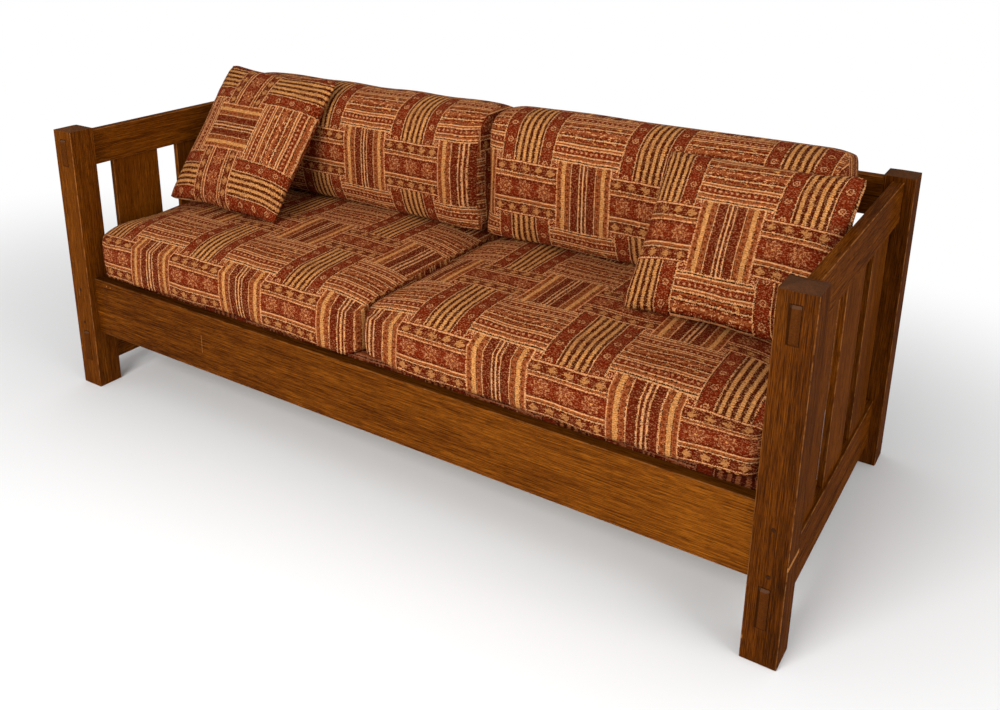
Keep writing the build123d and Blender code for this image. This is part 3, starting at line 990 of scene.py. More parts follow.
def rim(rows: int, deep: int, start: int) -> list[int]:
    """The points round a grid, against the clock.

    Args:
        rows: Number of rows.
        deep: Number of points in a row.
        start: Number of the point that comes first.

    Returns:
        Their numbers.
    """
    last = (rows - 1) * deep
    loop = [
        *range(deep - 1, 0, -1), *range(0, last, deep), *range(last, last + deep - 1),
        *range(last + deep - 1, deep - 1, -deep),
    ]
    place = loop.index(start)
    return loop[place:] + loop[:place]


def declare(made: bpy.types.Object, body: str, node: str) -> None:
    """Tell the frame what a finished piece is.

    Args:
        made: The piece.
        body: Body that it rides on.
        node: Node that it replaces.
    """
    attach(made, body)
    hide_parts(node)
    LOG.info("%s: %d faces", made.name, len(made.data.polygons))


def read_points(thing: bpy.types.Object, kind: str = "co") -> Array:
    """Read the points of an object's mesh.

    Args:
        thing: The object.
        kind: "co" for their places, "normal" for their normals.

    Returns:
        One row for each point.
    """
    values = np.empty(len(thing.data.vertices) * 3)
    thing.data.vertices.foreach_get(kind, values)
    return values.reshape(-1, 3)


def write_points(thing: bpy.types.Object, points: Array) -> None:
    """Put an object's mesh at new points."""
    thing.data.vertices.foreach_set("co", points.ravel())
    thing.data.update()


@dataclass(frozen=True)
class Panel:
    """A stuffed panel, whose places are those of a square from -1 to 1.

    Attributes:
        draw: How far the middles of its sides are drawn in.
        run: How far from a side it levels off.
        ear: How far its sides are drawn in between full corners.
    """

    half_a: float
    half_b: float
    draw: float
    corner: float
    run: float
    ear: float = 0.0

    def shape(self, place: Array) -> tuple[Array, Array]:
        """Bring places onto the panel.

        Args:
            place: Places of the square.

        Returns:
            Plan points, and how far each has risen, 0 to 1.
        """
        halves = np.array([self.half_a, self.half_b])
        other = place[:, ::-1]
        drawn = halves - self.draw * (1 - other * other) - self.ear * (1 - other**6)
        rise = crown(halves * (1 - np.abs(place)) / self.run)
        return self._rounded(place * drawn, halves), rise[:, 0] * rise[:, 1]

    def _rounded(self, points: Array, halves: Array) -> Array:
        """Bring the square corners of a plan onto arcs.

        Args:
            points: Plan points.
            halves: Half width and half depth.

        Returns:
            The moved points.
        """
        base = halves - self.corner
        out = points.copy()
        over = np.abs(points) - base
        both = (over > 0).all(axis=1)
        reach = np.hypot(over[both, 0], over[both, 1])
        scale = over[both].max(axis=1) / np.maximum(reach, TINY)
        out[both] = np.sign(points[both]) * (base + over[both] * scale[:, None])
        return out


@dataclass(frozen=True)
class Pose:
    """Where a piece's own width, height and front directions point."""

    origin: Triple
    across: Triple = (1.0, 0.0, 0.0)
    up: Triple = (0.0, 1.0, 0.0)
    front: Triple = (0.0, 0.0, 1.0)

    def to_frame(self, local: Array) -> Array:
        """Points in the frame of the model."""
        return np.array(self.origin) + local @ np.array([self.across, self.up, self.front])

    @classmethod
    def leaning(cls, origin: Vector, lean: float, turn: float, spin: float) -> "Pose":
        """A piece that leans back.

        Args:
            origin: Its middle.
            lean: Degrees that it leans back.
            turn: Degrees that it faces to the right.
            spin: Degrees that it is turned in its own plane, against the clock.

        Returns:
            The pose.
        """
        n, t, s = (math.radians(v) for v in (lean, turn, spin))
        level = Vector((math.cos(t), math.sin(t), 0.0))
        front = Vector((math.sin(t) * math.cos(n), -math.cos(t) * math.cos(n), math.sin(n)))
        steep = front.cross(level)
        across = level * math.cos(s) + steep * math.sin(s)
        up = steep * math.cos(s) - level * math.sin(s)
        return cls(tuple(origin), tuple(across), tuple(up), tuple(front))


@dataclass(frozen=True)
class Lay:
    """How the tapestry lies on a piece: where a striped block's middle is, and its turn."""

    u: float = 0.0
    v: float = 0.0
    turned: bool = False

    def coordinates(self, flat: Array) -> Array:
        """Cloth coordinates of flat places on the piece."""
        moved = flat - np.array([self.u, self.v])
        return moved[:, ::-1] * np.array([1.0, -1.0]) if self.turned else moved


@dataclass
class Skin:
    """A mesh in the making: points, faces, cloth coordinates for each face corner, seams."""

    points: Array
    faces: list[tuple[int, ...]] = field(default_factory=list)
    flat: list[tuple[float, float]] = field(default_factory=list)
    seams: list[list[int]] = field(default_factory=list)
    crease: float = 0.7

    def face(self, numbers: Sequence[int], places: Sequence[tuple[float, float]]) -> None:
        """Add a face, with the cloth coordinates of its corners."""
        self.faces.append(tuple(numbers))
        self.flat += places

    def wall(
        self, low: Sequence[int], high: Sequence[int], run: Array, bottom: float, top: float
    ) -> None:
        """Add the faces between two closed loops of points.

        Args:
            low: Point numbers of the lower loop.
            high: Point numbers of the upper loop.
            run: Cloth coordinate along the loops, at each point and after the last.
            bottom: The other cloth coordinate of the lower loop.
            top: The other cloth coordinate of the upper loop.
        """
        for k in range(len(low)):
            after = (k + 1) % len(low)
            places = [(run[k], bottom), (run[k + 1], bottom), (run[k + 1], top), (run[k], top)]
            self.face((low[k], low[after], high[after], high[k]), places)

    def mesh(self, name: str, lay: Lay) -> bpy.types.Mesh:
        """Make the mesh.

        Args:
            name: Its name.
            lay: How the cloth lies on it.

        Returns:
            The mesh.
        """
        mesh = bpy.data.meshes.new(name)
        mesh.from_pydata(self.points.tolist(), [], self.faces)
        layer = mesh.uv_layers.new(name=CLOTH_MAP)
        layer.data.foreach_set("uv", lay.coordinates(np.array(self.flat)).ravel())
        return mesh

    def build(self, name: str, material: bpy.types.Material, lay: Lay) -> bpy.types.Object:
        """Make the object.

        Args:
            name: Its name.
            material: Its finish.
            lay: How the cloth lies on it.

        Returns:
            The object, linked to the scene.
        """
        mesh = self.mesh(name, lay)
        mesh.materials.append(material)
        mesh.polygons.foreach_set("use_smooth", [True] * len(self.faces))
        sharp = {frozenset(pair) for seam in self.seams for pair in zip(seam, seam[1:])}
        if sharp:
            creases = mesh.attributes.new("crease_edge", "FLOAT", "EDGE")
            values = [self.crease * (frozenset(edge.vertices) in sharp) for edge in mesh.edges]
            creases.data.foreach_set("value", values)
        mesh.update()
        return link(bpy.data.objects.new(name, mesh))


@dataclass
class Wrinkles:
    """Soft unevenness of a stuffed cover: broad waves, and puckers next to its seams.

    Attributes:
        pitch: Length of a pucker along the seam.
        reach: How far the puckers reach from the seam.
        seam: Width beside the seam that stays flat.
        broad: Length, number and salt of the plane waves that make the broad ones.
        stray: The same for the waves that shift the puckers along the seam.
        vary: The same for the waves that vary their height.
        shift: How far, in radians, the waves shift the puckers.
        height: Mean height of the puckers, as a share, and how much the waves change it.
    """

    seed: int
    waves: float = 0.0022
    puckers: float = 0.0013
    pitch: float = 0.03
    reach: float = 0.03
    seam: float = 0.006
    broad: tuple[float, int, int] = (0.17, 9, 1)
    stray: tuple[float, int, int] = (0.12, 5, 2)
    vary: tuple[float, int, int] = (0.2, 5, 3)
    shift: float = 1.8
    height: tuple[float, float] = (0.6, 0.5)

    def _waves(self, points: Array, length: float, count: int, salt: int) -> Array:
        """Sum of plane waves of about one length.

        Args:
            points: Where it is read.
            length: Their length.
            count: How many waves there are.
            salt: Number that sets this sum apart from others with the same seed.

        Returns:
            The sum, from -1 to 1 or so.
        """
        random = np.random.RandomState(self.seed * 31 + salt)
        total = np.zeros(len(points))
        for _ in range(count):
            way = random.normal(size=3)
            way /= np.linalg.norm(way)
            scale = 2 * math.pi / (length * random.uniform(0.7, 1.5))
            total += np.sin(points @ way * scale + random.uniform(0, 2 * math.pi))
        return total / math.sqrt(count)

    def apply(self, points: Array, normals: Array, seams: list[list[int]]) -> Array:
        """Move points along their normals.

        Args:
            points: Points of the cover.
            normals: Their normals.
            seams: Point numbers along each seam.

        Returns:
            The moved points.
        """
        lift = self.waves * self._waves(points, *self.broad)
        tree = KDTree(sum(len(seam) for seam in seams))
        places: list[float] = []
        for seam in seams:
            line = points[seam]
            for point, place in zip(line, lengths(np.diff(line, axis=0))):
                tree.insert(point, len(places))
                places.append(place)
        tree.balance()
        found = [tree.find(point)[1:] for point in points]
        place = np.array([places[number] for number, _ in found])
        distance = np.array([gap for _, gap in found])
        phase = self.shift * self._waves(points, *self.stray)
        share = np.exp(-((distance / self.reach) ** 2)) * (1 - np.exp(-distance / self.seam))
        fold = np.sin(place * 2 * math.pi / self.pitch + phase)
        strength = self.height[0] + self.height[1] * self._waves(points, *self.vary)
        lift += self.puckers * share * fold * strength
        return points + normals * lift[:, None]


@dataclass
class Cushion:
    """A soft piece that is swollen by a short cloth simulation and rides on its own body.

    Attributes:
        node: The node that it replaces, which is also the body that it rides on.
        cap: How far the simulation may move it.
        held: Numbers of the seams that the simulation leaves where they are.
        frames: Steps of the simulation.
    """

    name: str
    node: str
    pose: Pose
    lay: Lay
    wrinkles: Wrinkles
    pressure: float = 4.0
    cap: float = 0.012
    fill: float = 0.7
    held: tuple[int, ...] = ()
    frames: int = 20

    def skin(self) -> Skin:
        """The piece before it is swollen."""
        raise NotImplementedError

    def settle(self, local: Array) -> Array:
        """Moves that give the piece the sag and dents of the real one."""
        return local

    def limit(self, local: Array) -> Array:
        """Points brought back into the room that the piece has."""
        return local

    def pressed(self, points: Array) -> Array:
        """Points in the frame, pressed in where the piece leans on another."""
        return points

    def swell(self, made: bpy.types.Object, seams: list[list[int]]) -> None:
        """Blow the cover up a little, so that it rounds and wrinkles.

        Args:
            made: The cover.
            seams: Point numbers along each seam.
        """
        rest = read_points(made)
        group = made.vertex_groups.new(name="held")
        group.add(sorted({n for number in self.held for n in seams[number]}), 1.0, "REPLACE")
        cloth = made.modifiers.new("Swell", "CLOTH")
        values = cloth.settings
        values.quality = 5
        values.mass = 0.25
        values.tension_stiffness = values.compression_stiffness = 15.0
        values.shear_stiffness = 5.0
        values.bending_stiffness = 0.4
        values.use_pressure = True
        values.uniform_pressure_force = self.pressure
        values.effector_weights.gravity = 0.0
        if self.held:
            values.vertex_group_mass = group.name
        cloth.collision_settings.use_collision = False
        cloth.point_cache.frame_start, cloth.point_cache.frame_end = 1, self.frames
        scene = bpy.context.scene
        for frame in range(1, self.frames + 1):
            scene.frame_set(frame)
        swollen = made.evaluated_get(bpy.context.evaluated_depsgraph_get())
        move = read_points(swollen) - rest
        made.modifiers.remove(cloth)
        made.vertex_groups.remove(group)
        scene.frame_set(1)
        most = float(np.linalg.norm(move, axis=1).max())
        LOG.info("%s swells %.1f mm at most", self.name, most * 1000)
        write_points(made, rest + move * min(1.0, self.cap / max(most, TINY)))

    def build(self, material: bpy.types.Material) -> bpy.types.Object:
        """Make, swell and place the piece.

        Args:
            material: Its cloth.

        Returns:
            The object, declared and riding on its body.
        """
        skin = self.skin()
        made = skin.build(self.name, material, self.lay)
        self.swell(made, skin.seams)
        write_points(made, self.settle(read_points(made)))
        local = self.wrinkles.apply(read_points(made), read_points(made, "normal"), skin.seams)
        write_points(made, self.pressed(self.pose.to_frame(self.limit(local))))
        smooth = made.modifiers.new("Smooth", "SUBSURF")
        smooth.levels = smooth.render_levels = 1
        declare(made, self.node, self.node)
        return made


@dataclass
class BoxCushion(Cushion):
    """A cushion with a boxing strip between two crowned panels.

    Attributes:
        run: How far from a side the panels level off.
        front_dip: How far the upper front seam is let down.
        front_lift: How far the lower front edge stands off the deck, along the front.
        front_hang: How far that edge hangs where it stands on the deck.
        tuck: How far that edge stands forward.
        rear_dip: How far it is hollowed under the back cushion.
        rear_from: Where that hollow starts, behind the middle.
        lip: Depth of the strip along its front edge that may hang.
        spare: How far it may spread to a side.
    """

    half_a: float = 0.4865
    half_b: float = 0.4095
    boxing: float = 0.130
    crown_front: float = 0.028
    run: float = 0.130
    bulge: float = 0.006
    draw: float = 0.006
    corner: float = 0.034
    step: float = 0.014
    front_dip: float = 0.022
    dip_reach: float = 0.05
    front_lift: Outline = ((-1.0, 0.0), (1.0, 0.0))
    lift_reach: float = 0.22
    front_hang: float = 0.0
    tuck: float = 0.006
    tuck_reach: float = 0.007
    rear_dip: float = 0.006
    rear_from: float = 0.05
    lip: float = 0.006
    spare: float = 0.0045
    forward: float = 0.012
    rearward: float = 0.004

    def skin(self) -> Skin:
        """Make two panels and the boxing between them.

        Returns:
            One closed mesh.
        """
        count_a, count_b = (2 * round(half / self.step) for half in (self.half_a, self.half_b))
        rows = max(4, round(self.boxing / self.step))
        deep = count_b + 1
        place = grid(count_a, count_b)
        size = len(place)
        panel = Panel(self.half_a, self.half_b, self.draw, self.corner, self.run)
        plan, rise = panel.shape(place)
        # The boxing is joined at the middle of the back
        around = rim(count_a + 1, deep, count_a // 2 * deep + count_b)
        edge = plan[around]
        ahead, behind = np.roll(edge, -1, axis=0), np.roll(edge, 1, axis=0)
        outward = (ahead - behind)[:, ::-1] * np.array([1.0, -1.0])
        outward /= np.linalg.norm(outward, axis=1, keepdims=True)
        along = lengths(ahead - edge)
        along -= along[around.index(count_a // 2 * deep)]

        points = [
            np.column_stack([plan, self.boxing + self.crown_front * rise]),
            np.column_stack([plan, np.zeros(size)]),
        ]
        loops = [[size + k for k in around]]
        for row in range(1, rows):
            share = row / rows
            swell = self.bulge * 4 * share * (1 - share)
            height = np.full(len(edge), self.boxing * share)
            points.append(np.column_stack([edge + outward * swell, height]))
            start = 2 * size + (row - 1) * len(edge)
            loops.append(list(range(start, start + len(edge))))
        loops.append(around)

        made = Skin(np.concatenate(points))
        flat = place * np.array([self.half_a, self.half_b])
        for cell in cells(count_a + 1, deep):
            made.face(cell, [tuple(flat[n]) for n in cell])
            under = cell[::-1]
            places = [(flat[n][0], -2 * self.half_b - self.boxing - flat[n][1]) for n in under]
            made.face([size + n for n in under], places)
        levels = [-self.half_b - self.boxing * (1 - row / rows) for row in range(rows + 1)]
        for row in range(rows):
            made.wall(loops[row], loops[row + 1], along, levels[row], levels[row + 1])
        made.seams = [loops[0] + loops[0][:1], around + around[:1]]
        return made

    def settle(self, local: Array) -> Array:
        """Let the front seam down, round the front and lift its lower edge where it stands off.

        Args:
            local: The cushion's points.

        Returns:
            The moved points.
        """
        a, b, c = local.T
        away = b + self.half_b
        near = np.clip(away, 0, 1)
        share = np.clip(c / self.boxing, 0, 1)
        lower = self.front_dip * np.exp(-((near / self.dip_reach) ** 2)) * share**2
        stand = np.interp(a / self.half_a, *zip(*self.front_lift))
        lift = stand * np.clip(1 - away / self.lift_reach, 0, 1) ** 2 * (1 - share) ** 0.7
        behind = np.clip((b - self.rear_from) / self.half_b, 0, 1)
        hollow = self.rear_dip * behind**2 * share**2
        edge = np.exp(-((near / self.tuck_reach) ** 2)) * (1 - share) ** 2
        hang = np.clip(self.front_hang - stand, 0.0, 1.0) * edge
        return np.stack([a, b - self.tuck * edge, c - lower + lift - hollow - hang], axis=1)

    def limit(self, local: Array) -> Array:
        """Keep it on the deck, below what it carries and beside its neighbour.

        Args:
            local: The cushion's points.

        Returns:
            The limited points.
        """
        a, b, c = local.T
        a = np.clip(a, -self.half_a - self.spare, self.half_a + self.spare)
        b = np.clip(b, -self.half_b - self.forward, self.half_b + self.rearward)
        floor = np.where(b < -self.half_b + self.lip, -self.front_hang, 0.0)
        over = np.maximum(c - self.boxing * 0.9, 0.0)
        room = self.boxing * 0.1 + self.crown_front
        c = c - over * (1 - min(1.0, room / max(float(over.max()), 1e-6)))
        return np.stack([a, b, np.maximum(c, floor)], axis=1)


@dataclass
class RolledCushion(Cushion):
    """A back cushion: one cloth round its front, top and back, with a gusset at each end.

    Its outlines are points forward of the rear seam and above the bottom, first along the
    bottom, then up the front, over the top and down the back.

    Attributes:
        level: Height on the front where the cloth coordinate is 0.
        run: How far from an end it reaches its full outline.
        draw: How far the ends are drawn in halfway up.
        rise: How much higher its middle stands.
        hub: Middle of a gusset: how far forward, and how high as a share of the height.
        gusset_lay: Shift of the cloth on the gussets.
        rear: How far behind the rear seam it may reach.
        front: How far forward of it.
        top: How high.
    """

    half_a: float = 0.465
    middle: Outline = (
        (0.010, 0.0), (0.130, 0.0), (0.246, 0.0), (0.274, 0.022), (0.288, 0.085), (0.2915, 0.175),
        (0.281, 0.252), (0.259, 0.305), (0.223, 0.334), (0.160, 0.346), (0.092, 0.337),
        (0.026, 0.306), (-0.018, 0.235), (-0.029, 0.145), (-0.018, 0.050),
    )
    end: Outline = (
        (0.016, 0.0), (0.130, 0.0), (0.238, 0.0), (0.2545, 0.018), (0.2555, 0.085), (0.2555, 0.175),
        (0.254, 0.254), (0.242, 0.306), (0.212, 0.332), (0.152, 0.341), (0.090, 0.333),
        (0.030, 0.298), (0.003, 0.235), (0.0, 0.145), (0.0, 0.050),
    )
    level: float = 0.179
    run: float = 0.056
    draw: float = 0.010
    bulge: float = 0.012
    step: float = 0.013
    rise: float = 0.0
    rings: int = 8
    hub: tuple[float, float] = (0.127, 0.48)
    gusset_lay: tuple[float, float] = (0.11, 0.04)
    rear: float = 0.030
    front: float = 0.2925
    top: float = 0.366

    def _sample(self, outline: Outline, counts: list[int]) -> Array:
        """Points on the smooth closed curve through an outline.

        Args:
            outline: The outline.
            counts: Number of points from each outline point to the next.

        Returns:
            The points, none below the bottom.
        """
        knots = np.array(outline)
        points = []
        for k, count in enumerate(counts):
            p0, p1, p2, p3 = (knots[(k + m) % len(knots)] for m in (-1, 0, 1, 2))
            bend, twist = 2 * p0 - 5 * p1 + 4 * p2 - p3, 3 * p1 - p0 - 3 * p2 + p3
            for t in np.arange(count) / count:
                points.append(0.5 * (2 * p1 + (p2 - p0) * t + bend * t * t + twist * t**3))
        found = np.array(points)
        found[:, 1] = np.maximum(found[:, 1], 0.0)
        return found

    def skin(self) -> Skin:
        """Make the cloth round the cushion and its two gussets.

        Returns:
            One closed mesh.
        """
        spans = np.diff(np.array(self.middle + self.middle[:1]), axis=0)
        counts = [max(1, round(float(v))) for v in np.linalg.norm(spans, axis=1) / self.step]
        full, low = self._sample(self.middle, counts), self._sample(self.end, counts)
        around = len(full)
        across = 2 * round(self.half_a / self.step)
        shares = np.linspace(-1, 1, across + 1)
        height = full[:, 1].max()
        rows = []
        for share in shares:
            rise = crown(self.half_a * (1 - abs(share)) / self.run)
            ring = low + (full - low) * rise
            pull = self.draw * (1 - (2 * ring[:, 1] / height - 1) ** 2)
            up = ring[:, 1] * (1 + self.rise * rise / height)
            rows.append(np.column_stack([share * (self.half_a - pull), up, ring[:, 0]]))
        run = lengths(np.roll(full, -1, axis=0) - full)
        front = sum(counts[:3])
        run -= run[front + int(np.argmin(np.abs(full[front : front + 30, 1] - self.level)))]

        made = Skin(np.concatenate(rows))
        for i in range(across):
            left, right = shares[i] * self.half_a, shares[i + 1] * self.half_a
            here, there = i * around, (i + 1) * around
            for j in range(around):
                after = (j + 1) % around
                places = [(left, run[j]), (right, run[j]), (right, run[j + 1]), (left, run[j + 1])]
                made.face((here + j, there + j, there + after, here + after), places)
        for sign, first in ((-1, 0), (1, across * around)):
            outer = list(range(first, first + around))
            self._gusset(made, outer, sign, height)
            made.seams.append(outer + outer[:1])
        return made

    def _gusset(self, made: Skin, outer: list[int], sign: int, height: float) -> None:
        """Close an end with rings of faces round a middle point.

        Args:
            made: The mesh in the making.
            outer: Point numbers of the end's outline.
            sign: -1 for the left end and 1 for the right one.
            height: Height of the cushion.
        """
        edge = made.points[outer]
        forward, high = self.hub
        middle = np.array([edge[0, 0], height * high, forward])
        across, up = self.gusset_lay
        for ring in range(1, self.rings + 1):
            share = 1 - ring / self.rings
            inner = middle + (edge - middle) * share
            inner[:, 0] = edge[:, 0] * share + sign * self.half_a * (1 - share)
            inner[:, 0] += sign * self.bulge * (1 - share**2)
            last = ring == self.rings
            numbers = len(made.points) + np.arange(1 if last else len(edge))
            made.points = np.concatenate([made.points, inner[: len(numbers)]])
            for j in range(len(outer)):
                after = (j + 1) % len(outer)
                face = [outer[j], outer[after], numbers[0 if last else after]]
                face = face if last else [*face, numbers[j]]
                face = [int(n) for n in (face if sign < 0 else reversed(face))]
                spots = made.points[face]
                made.face(face, [(float(p[2]) + across, float(p[1]) + up) for p in spots])
            outer = numbers.tolist()

    def limit(self, local: Array) -> Array:
        """Keep it on the seat cushion, off the slats and beside its neighbour."""
        side = self.half_a + self.bulge
        return np.clip(local, [-side, 0.0, -self.rear], [side, self.top, self.front])


@dataclass
class Pillow(Cushion):
    """A knife-edged pillow: two panels sewn together, drawn in between its corners.

    Attributes:
        ear: How far its sides are drawn in between full corners.
        run_share: Where it levels off, as a share of its lesser size.
        fullness: How steeply it rises from the seam, less for steeper.
        behind: The cushion that it leans on.
        air: Gap that it keeps from that cushion.
        search: How near that cushion has to be.
    """

    width: float = 0.457
    height: float = 0.457
    thickness: float = 0.124
    draw: float = 0.009
    ear: float = 0.008
    corner: float = 0.036
    run_share: float = 0.42
    fullness: float = 0.42
    step: float = 0.0095
    behind: bpy.types.Object | None = None
    air: float = 0.0015
    search: float = 0.05

    def pressed(self, points: Array) -> Array:
        """Press the pillow in where it leans on the cushion behind.

        Args:
            points: The pillow's points in the frame.

        Returns:
            The points, none of them inside that cushion.
        """
        tree = BVHTree.FromObject(self.behind, bpy.context.evaluated_depsgraph_get())
        out = points.copy()
        for number, point in enumerate(points):
            place, normal, _, _ = tree.find_nearest(point, self.search)
            if place is not None and (Vector(point) - place).dot(normal) < self.air:
                out[number] = place + normal * self.air
        return out

    def skin(self) -> Skin:
        """Make two crowned panels that share their edge.

        Returns:
            One closed mesh.
        """
        halves = self.width / 2, self.height / 2
        count_a, count_b = (2 * round(half / self.step) for half in halves)
        place = grid(count_a, count_b)
        run = self.run_share * min(self.width, self.height)
        plan, rise = Panel(*halves, self.draw, self.corner, run, self.ear).shape(place)
        front = np.column_stack([plan, rise**self.fullness * self.thickness / 2])
        inner = (np.abs(place) < 1).all(axis=1)
        back = front[inner] * np.array([1, 1, -1])
        size = len(place)
        behind = np.arange(size)
        behind[inner] = size + np.arange(len(back))
        made = Skin(np.concatenate([front, back]))
        flat = place * np.array(halves)
        for cell in cells(count_a + 1, count_b + 1):
            made.face(cell, [tuple(flat[n]) for n in cell])
            under = cell[::-1]
            made.face([int(behind[n]) for n in under], [(-flat[n][0], flat[n][1]) for n in under])
        made.seams = [[*rim(count_a + 1, count_b + 1, 0), 0]]
        return made


@dataclass
class RepeatedStrap:
    """Webbing straps from the front bar to the rear bar, each a thin woven band.

    Attributes:
        low: Lowest corner of the box that holds them all.
        high: Highest corner of that box.
        rows: Points across a strap.
        deep: Points along it.
    """

    count: int
    width: float
    low: Vector
    high: Vector
    rows: int = 5
    deep: int = 25

    def strap(self) -> bpy.types.Mesh:
        """Make one strap at the left end, with cloth coordinates.

        Returns:
            The strap's mesh.
        """
        xs = np.linspace(self.low.x, self.low.x + self.width, self.rows)
        ys = np.linspace(self.low.y, self.high.y, self.deep)
        made = Skin(np.array([(x, y, self.low.z) for x in xs for y in ys]))
        for cell in cells(self.rows, self.deep):
            made.face(cell, [tuple(made.points[n][:2]) for n in cell])
        return made.mesh("strap", Lay())

    def build(self, name: str, finish: bpy.types.Material) -> bpy.types.Object:
        """Repeat the strap along the seat and give it its thickness.

        Args:
            name: Name of the object.
            finish: Its material.

        Returns:
            The object.
        """
        tree = Tree(name)
        pitch = (self.high.x - self.low.x - self.width) / (self.count - 1)
        count = tree.number("Count", self.count, "NodeSocketInt")
        offset = tree.join(tree.number("Pitch", pitch), 0.0)
        inputs = {"Count": count, "Offset": offset}
        line = tree.node("GeometryNodeMeshLine", {"mode": "OFFSET"}, inputs)
        inputs = {"Points": line, "Instance": tree.incoming("Geometry")}
        placed = tree.node("GeometryNodeInstanceOnPoints", {}, inputs)
        made = tree.run(name, self.strap(), placed, finish)
        wall = made.modifiers.new("Thickness", "SOLIDIFY")
        wall.thickness, wall.offset = self.high.z - self.low.z, 1.0
        return made


@dataclass
class Deck:
    """The drop-in seat's pad, its cloth, the facing band along its front, and its webbing.

    Attributes:
        edge: Radius of its arris.
        band_return: How far the facing band reaches over the top.
        seam: Cloth of the band that is turned in; not used.
        pad: Depth of the pad's sides.
        step: Size of the cloth's faces.
        pad_step: Size of the pad's faces.
        band_rows: Rows of points across the top of the band.
        turns: Rows of points over the arris.
        falls: Rows of points down the sides, as shares of their height.
    """

    half_length: float = 0.989
    half_depth: float = 0.410
    top: float = 0.362
    bottom: float = 0.294
    edge: float = 0.012
    cloth: float = 0.0015
    band_return: float = 0.075
    seam: float = 0.01
    pad: float = 0.036
    step: float = 0.035
    pad_step: float = 0.05
    band_rows: int = 7
    turns: int = 5
    falls: tuple[float, ...] = (0.35, 0.7, 1.0)
    straps: int = 14
    strap_width: float = 0.06
    lay: Lay = Lay(0.05, 0.02)

    def lid(self, inset: float, drop: float, step: float) -> Skin:
        """A sheet over the top and down the sides, with rounded arrises.

        Args:
            inset: How far it lies inside the cloth's outside.
            drop: How far it goes down.
            step: Size of its faces.

        Returns:
            The sheet, open below.
        """
        top, edge = self.top - inset, self.edge - inset
        halves = np.array([self.half_length - inset - edge, self.half_depth - inset - edge])
        flat_a, flat_b = halves
        back = -self.half_depth + self.band_return
        band = np.linspace(-flat_b, back, self.band_rows)[:-1]
        rest = np.linspace(back, flat_b, round(2 * flat_b / step))
        xs = np.linspace(-flat_a, flat_a, 2 * round(flat_a / step) + 1)
        ys = np.concatenate([band, rest])
        panel = np.array([(x, y, top) for x in xs for y in ys])
        rows, deep = len(xs), len(ys)
        loop = rim(rows, deep, deep - 1)
        base = panel[loop][:, :2]
        outward = np.sign(base) * (np.abs(base) >= halves)
        outward /= np.linalg.norm(outward, axis=1, keepdims=True)
        turns = np.linspace(0, math.pi / 2, self.turns)
        profile = [(edge * math.sin(t), edge * (1 - math.cos(t))) for t in turns]
        profile += [(edge, edge + (drop - edge) * share) for share in self.falls]
        rings = [
            np.column_stack([base + outward * out, np.full(len(base), top - down)])
            for out, down in profile[1:]
        ]
        made = Skin(np.concatenate([panel, *rings]))
        for cell in cells(rows, deep):
            made.face(cell, [(float(panel[n][0]), float(panel[n][1])) for n in cell])
        run = lengths(np.roll(base, -1, axis=0) - base)
        run -= run[loop.index(rows // 2 * deep)]
        fall = -flat_b - lengths(np.diff(profile, axis=0))
        for number in range(len(rings)):
            start = len(panel) + number * len(base)
            below = list(range(start, start + len(base)))
            made.wall(below, loop, run, fall[number + 1], fall[number])
            loop = below
        return made

    def part(self, whole: Skin, front: bool) -> Skin:
        """Take a part of the deck's cloth.

        Args:
            whole: The whole sheet.
            front: Whether it is the facing band in front, or the rest behind it.

        Returns:
            The part.
        """
        line = -self.half_depth + self.band_return
        faces, flat = [], []
        for number, face in enumerate(whole.faces):
            if (whole.points[list(face)][:, 1].mean() < line) == front:
                faces.append(face)
                flat += whole.flat[4 * number : 4 * number + 4]
        used = sorted({n for face in faces for n in face})
        renumber = {n: k for k, n in enumerate(used)}
        faces = [tuple(renumber[n] for n in face) for face in faces]
        return Skin(whole.points[used], faces, flat)

    def build(self, tapestry: bpy.types.Material) -> None:
        """Make both cloths, the pad and the webbing.

        Args:
            tapestry: Cloth of the facing band.
        """
        decking = PlainWeave("decking_cloth", srgb(112, 106, 100), srgb(92, 86, 82)).dress()
        whole = self.lid(0.0, self.top - self.bottom, self.step)
        drop = 2 * (self.top - self.bottom - self.edge)
        length = 2 * self.half_length + drop
        over = self.band_return
        for name, node, front, finish, slot, deep, bar in (
            ("deck_band_cover", "deck_front_band", True, tapestry, "cushion_cloth",
             over + drop / 2 + self.seam, "seat_frame_front_bar"),
            ("deck_cloth_cover", "deck_cloth", False, decking, "decking_cloth",
             2 * self.half_depth + drop / 2 - over, "seat_frame_rear_bar"),
        ):
            piece = self.part(whole, front).build(name, finish, self.lay)
            wall = piece.modifiers.new("Cloth", "SOLIDIFY")
            wall.thickness, wall.offset = self.cloth, -1.0
            declare(piece, SEAT_BODY, node)
        self._pad()
        self._webbing()

    def _pad(self) -> None:
        """Make the pad, closed underneath."""
        felt = PlainWeave("pad_felt", srgb(206, 198, 182), srgb(188, 178, 160), 0.003).dress()
        skin = self.lid(self.cloth, self.pad, self.pad_step)
        lowest = skin.points[:, 2].min()
        ring = [n for n, point in enumerate(skin.points) if point[2] < lowest + 1e-6][::-1]
        skin.face(ring, [tuple(skin.points[n][:2]) for n in ring])
        piece = skin.build("deck_pad_cover", felt, Lay())
        declare(piece, SEAT_BODY, "deck_pad")

    def _webbing(self) -> None:
        """Make the webbing: one strap repeated along the seat by Geometry Nodes."""
        finish = PlainWeave(
            "webbing", srgb(96, 88, 78), srgb(74, 66, 58), 0.0022, srgb(150, 60, 40), 0.03
        ).dress()
        strap = RepeatedStrap(self.straps, self.strap_width, *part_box("webbing_straps"))
        piece = strap.build("webbing_cover", finish)
        declare(piece, SEAT_BODY, "webbing_straps")


